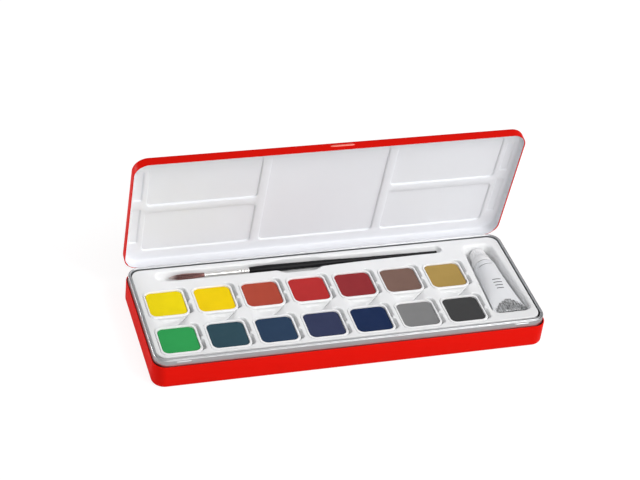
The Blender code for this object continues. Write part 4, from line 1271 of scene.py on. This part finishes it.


# Paint tube
# A soft metal tube in white enamel: neck and shoulder, round body, end pressed flat where crumpled
# bare metal shows. Short rules are printed on it, two thin dark rings on the shoulder are painted
# shade of the gaps there, and a ribbed cap closes it.

TUBE_X = 0.11105
TUBE_Z = 0.0136
TUBE_RADIUS = 0.0076
TUBE_FLAT = 0.0117
TUBE_SHOULDER = 0.0165
TUBE_CRIMP = -0.0297
TUBE_CRIMP_Z = 0.0160
CAP = (0.0212, 0.0352)
CAP_STEP = 0.0275
NECK_END = 0.0336
TUBE_NECK = 0.0031
TUBE_COLLAR = 0.0069
TUBE_GROOVE = ((0.0001, 0.00015), (0.00025, 0.00045), (0.0005, 0.00045), (0.0007, 0.0))
FLAT_START = TUBE_SHOULDER - 0.0020
FLAT_END = TUBE_CRIMP + 0.0040
FLAT_HALF = 0.0007
FOLD = ((0.0035, 0, 0.00068), (0.0002, 0, 0.00066), (0, 0.0001, 0.0005))
ENAMEL_END = -0.0192
ENAMEL_BOW = 0.0085


def tube_ring(y, half_x, half_z, z, steps=56):
    """Oval section, for rings that follow one another toward the folded end."""
    ring = []
    for step in range(steps):
        angle = tau * step / steps
        ring.append(Vector((TUBE_X + half_x * cos(angle), y, z + half_z * sin(angle))))
    return ring


def tube_enamel_finish():
    enamel = Finish("tube_enamel", (0.80, 0.81, 0.83), 0.34)
    enamel.mottle(enamel.grain(0.020), 0.97, 1.02)
    enamel.rough(enamel.grain(0.004), 0.28, 0.42)
    enamel.bump(enamel.grain(0.010), 0.00030, 0.5)
    return enamel.material


tube_enamel = tube_enamel_finish()
fold_metal = grained(
    "tube_fold_metal", (0.62, 0.63, 0.64), 0.35, (0.28, 1.5, 0.0009, (1, 2.2, 1), 4),
    (0.25, 0.5, 0.001), (0.00035, 0.0010, (1, 2, 1), 4), metallic=1.0)


def body_section(y):
    """Half width, half height and height of the body's oval, from the shoulder to the fold."""
    share = (FLAT_START - y) / (FLAT_START - FLAT_END)
    widened = ((FLAT_START - y) / (FLAT_START - TUBE_CRIMP)) ** 1.2
    half_x = TUBE_RADIUS + (TUBE_FLAT - TUBE_RADIUS) * widened
    half_z = TUBE_RADIUS + (FLAT_HALF - TUBE_RADIUS) * share ** 1.5
    return half_x, half_z, TUBE_Z + (TUBE_CRIMP_Z - TUBE_Z) * share ** 1.5


def squeezed_tube():
    shape = bmesh.new()
    stations = [
        (NECK_END, TUBE_NECK - 0.0002), (CAP[0] - 0.0006, TUBE_NECK),
        (CAP[0] - 0.00065, TUBE_COLLAR - 0.0003),
    ]
    run = CAP[0] - 0.0007 - TUBE_SHOULDER
    for t in range(9):
        angle = pi / 2 * t / 8
        radius = TUBE_COLLAR + (TUBE_RADIUS - TUBE_COLLAR) * sin(angle)
        stations.append((TUBE_SHOULDER + run * cos(angle), radius))
    stations += [(TUBE_SHOULDER - back, TUBE_RADIUS - sunk) for back, sunk in TUBE_GROOVE]
    rings = [tube_ring(y, radius, radius, TUBE_Z) for y, radius in stations]
    for t in range(31):
        y = FLAT_START + (FLAT_END - FLAT_START) * t / 30
        rings.append(tube_ring(y, *body_section(y)))
    for before, inset, half_z in FOLD:
        rings.append(tube_ring(TUBE_CRIMP + before, TUBE_FLAT - inset, half_z, TUBE_CRIMP_Z))
    closed(shape, lofted(shape, rings))
    face_out(shape)
    for face in shape.faces:
        middle = face.calc_center_median()
        aside = (middle.x - TUBE_X - 0.001) / 0.011
        if middle.y < ENAMEL_END - ENAMEL_BOW * aside * aside:
            face.material_index = 1
    made = finished("squeezed_tube", shape, [tube_enamel, fold_metal])
    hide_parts("tube_body")
    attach(made, "tube")


RULE_TOP = -0.0004
RULE_STEP = 0.0027
RULE_LENGTHS = (0.0052, 0.0052, 0.0044, 0.0040)
RULE_THICK = 0.00065
RULE_LIFT = 0.00004
# The two rings are painted shade: dark lines where the collar meets the cap and in the shoulder groove.
PAINTED_SHADE_RINGS = ((CAP[0] - 0.0011, 0.00722, 0.95), (TUBE_SHOULDER - 0.0011, TUBE_RADIUS, 1.25))
RING_THICK = 0.00034
RING_LIFT = 0.00005
RING_TURN = 0.30


# One dark grey serves both the printed rules and the rings of painted shade.
grey_print_and_painted_shade = grained(
    "grey_print_and_painted_shade", (0.07, 0.07, 0.075), 0.55, (0.75, 1.3, 0.0006), (0.48, 0.62, 0.001))


def dark_strip(shape, sections, middle, turned, steps):
    """A dark strip between two oval sections, over a part of the way round, for print and for painted
    shade.
    """
    rows = []
    for y, half_x, half_z, z in sections:
        row = []
        for step in range(steps + 1):
            angle = middle + turned * (0.5 - step / steps)
            place = (TUBE_X + half_x * cos(angle), y, z + half_z * sin(angle))
            row.append(shape.verts.new(place))
        rows.append(row)
    sheet_rows(shape, rows)


def printed_rules_and_shade_rings():
    """Short printed grey lines across the body, one under another, and two thin rings of painted shade at
    the shoulder.
    """
    shape = bmesh.new()
    for number, length in enumerate(RULE_LENGTHS):
        top = RULE_TOP - RULE_STEP * number
        sections = []
        for y in (top, top - RULE_THICK):
            half_x, half_z, z = body_section(y)
            sections.append((y, half_x + RULE_LIFT, half_z + RULE_LIFT, z))
        dark_strip(shape, sections, pi / 2, length / TUBE_RADIUS, 12)
    for y, radius, turned in PAINTED_SHADE_RINGS:
        far = radius + RING_LIFT
        sections = [(y - back, far, far, TUBE_Z) for back in (0, RING_THICK)]
        dark_strip(shape, sections, pi / 2 + RING_TURN, turned, 24)
    made = finished("printed_rules_and_shade_rings", shape, [grey_print_and_painted_shade])
    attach(made, "tube")


CAP_FACE = ((0.0002, 0.0032), (0.00002, 0.0036), (0, 0.0042))
CAP_ROUND = 0.0009
CAP_SIDE = (
    (CAP[1] - 0.0014, 0.0053, 0.00025), (CAP_STEP + 0.0006, 0.0057, 0.00025),
    (CAP_STEP + 0.0005, 0.0057, 0.00002), (CAP_STEP + 0.0004, 0.0052, 0), (CAP_STEP + 0.0001, 0.0052, 0),
    (CAP_STEP, 0.0060, 0), (CAP_STEP - 0.0003, 0.0063, 0), (CAP[0] + 0.0006, 0.0069, 0),
    (CAP[0] + 0.0002, 0.00688, 0), (CAP[0], 0.0067, 0), (CAP[0], 0.0034, 0), (CAP[1] - 0.0010, 0.0034, 0),
)

cap_plastic = grained(
    "cap_white_plastic", (0.86, 0.86, 0.865), 0.38, (0.98, 1.01, 0.006), (0.32, 0.44, 0.002))


def ribbed_cap():
    ribs, per_rib = 24, 6
    count = ribs * per_rib
    shape = bmesh.new()

    def ring(y, radius, depth):
        points = []
        for step in range(count):
            angle = tau * step / count
            wave = 0.5 + 0.5 * cos(tau * step / per_rib)
            far = radius - depth * wave ** 2
            points.append(Vector((TUBE_X + far * cos(angle), y, TUBE_Z + far * sin(angle))))
        return points

    rings = [ring(CAP[1] - back, radius, 0) for back, radius in CAP_FACE]
    for t in range(1, 6):
        angle = pi / 2 * t / 5
        y = CAP[1] - CAP_ROUND * (1 - cos(angle))
        rings.append(ring(y, 0.0044 + CAP_ROUND * sin(angle), 0.00002 * t))
    rings += [ring(*station) for station in CAP_SIDE]
    closed(shape, lofted(shape, rings))
    face_out(shape)
    made = finished("ribbed_cap", shape, [cap_plastic], 50)
    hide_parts("tube_cap")
    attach(made, "cap")


squeezed_tube()
printed_rules_and_shade_rings()
ribbed_cap()
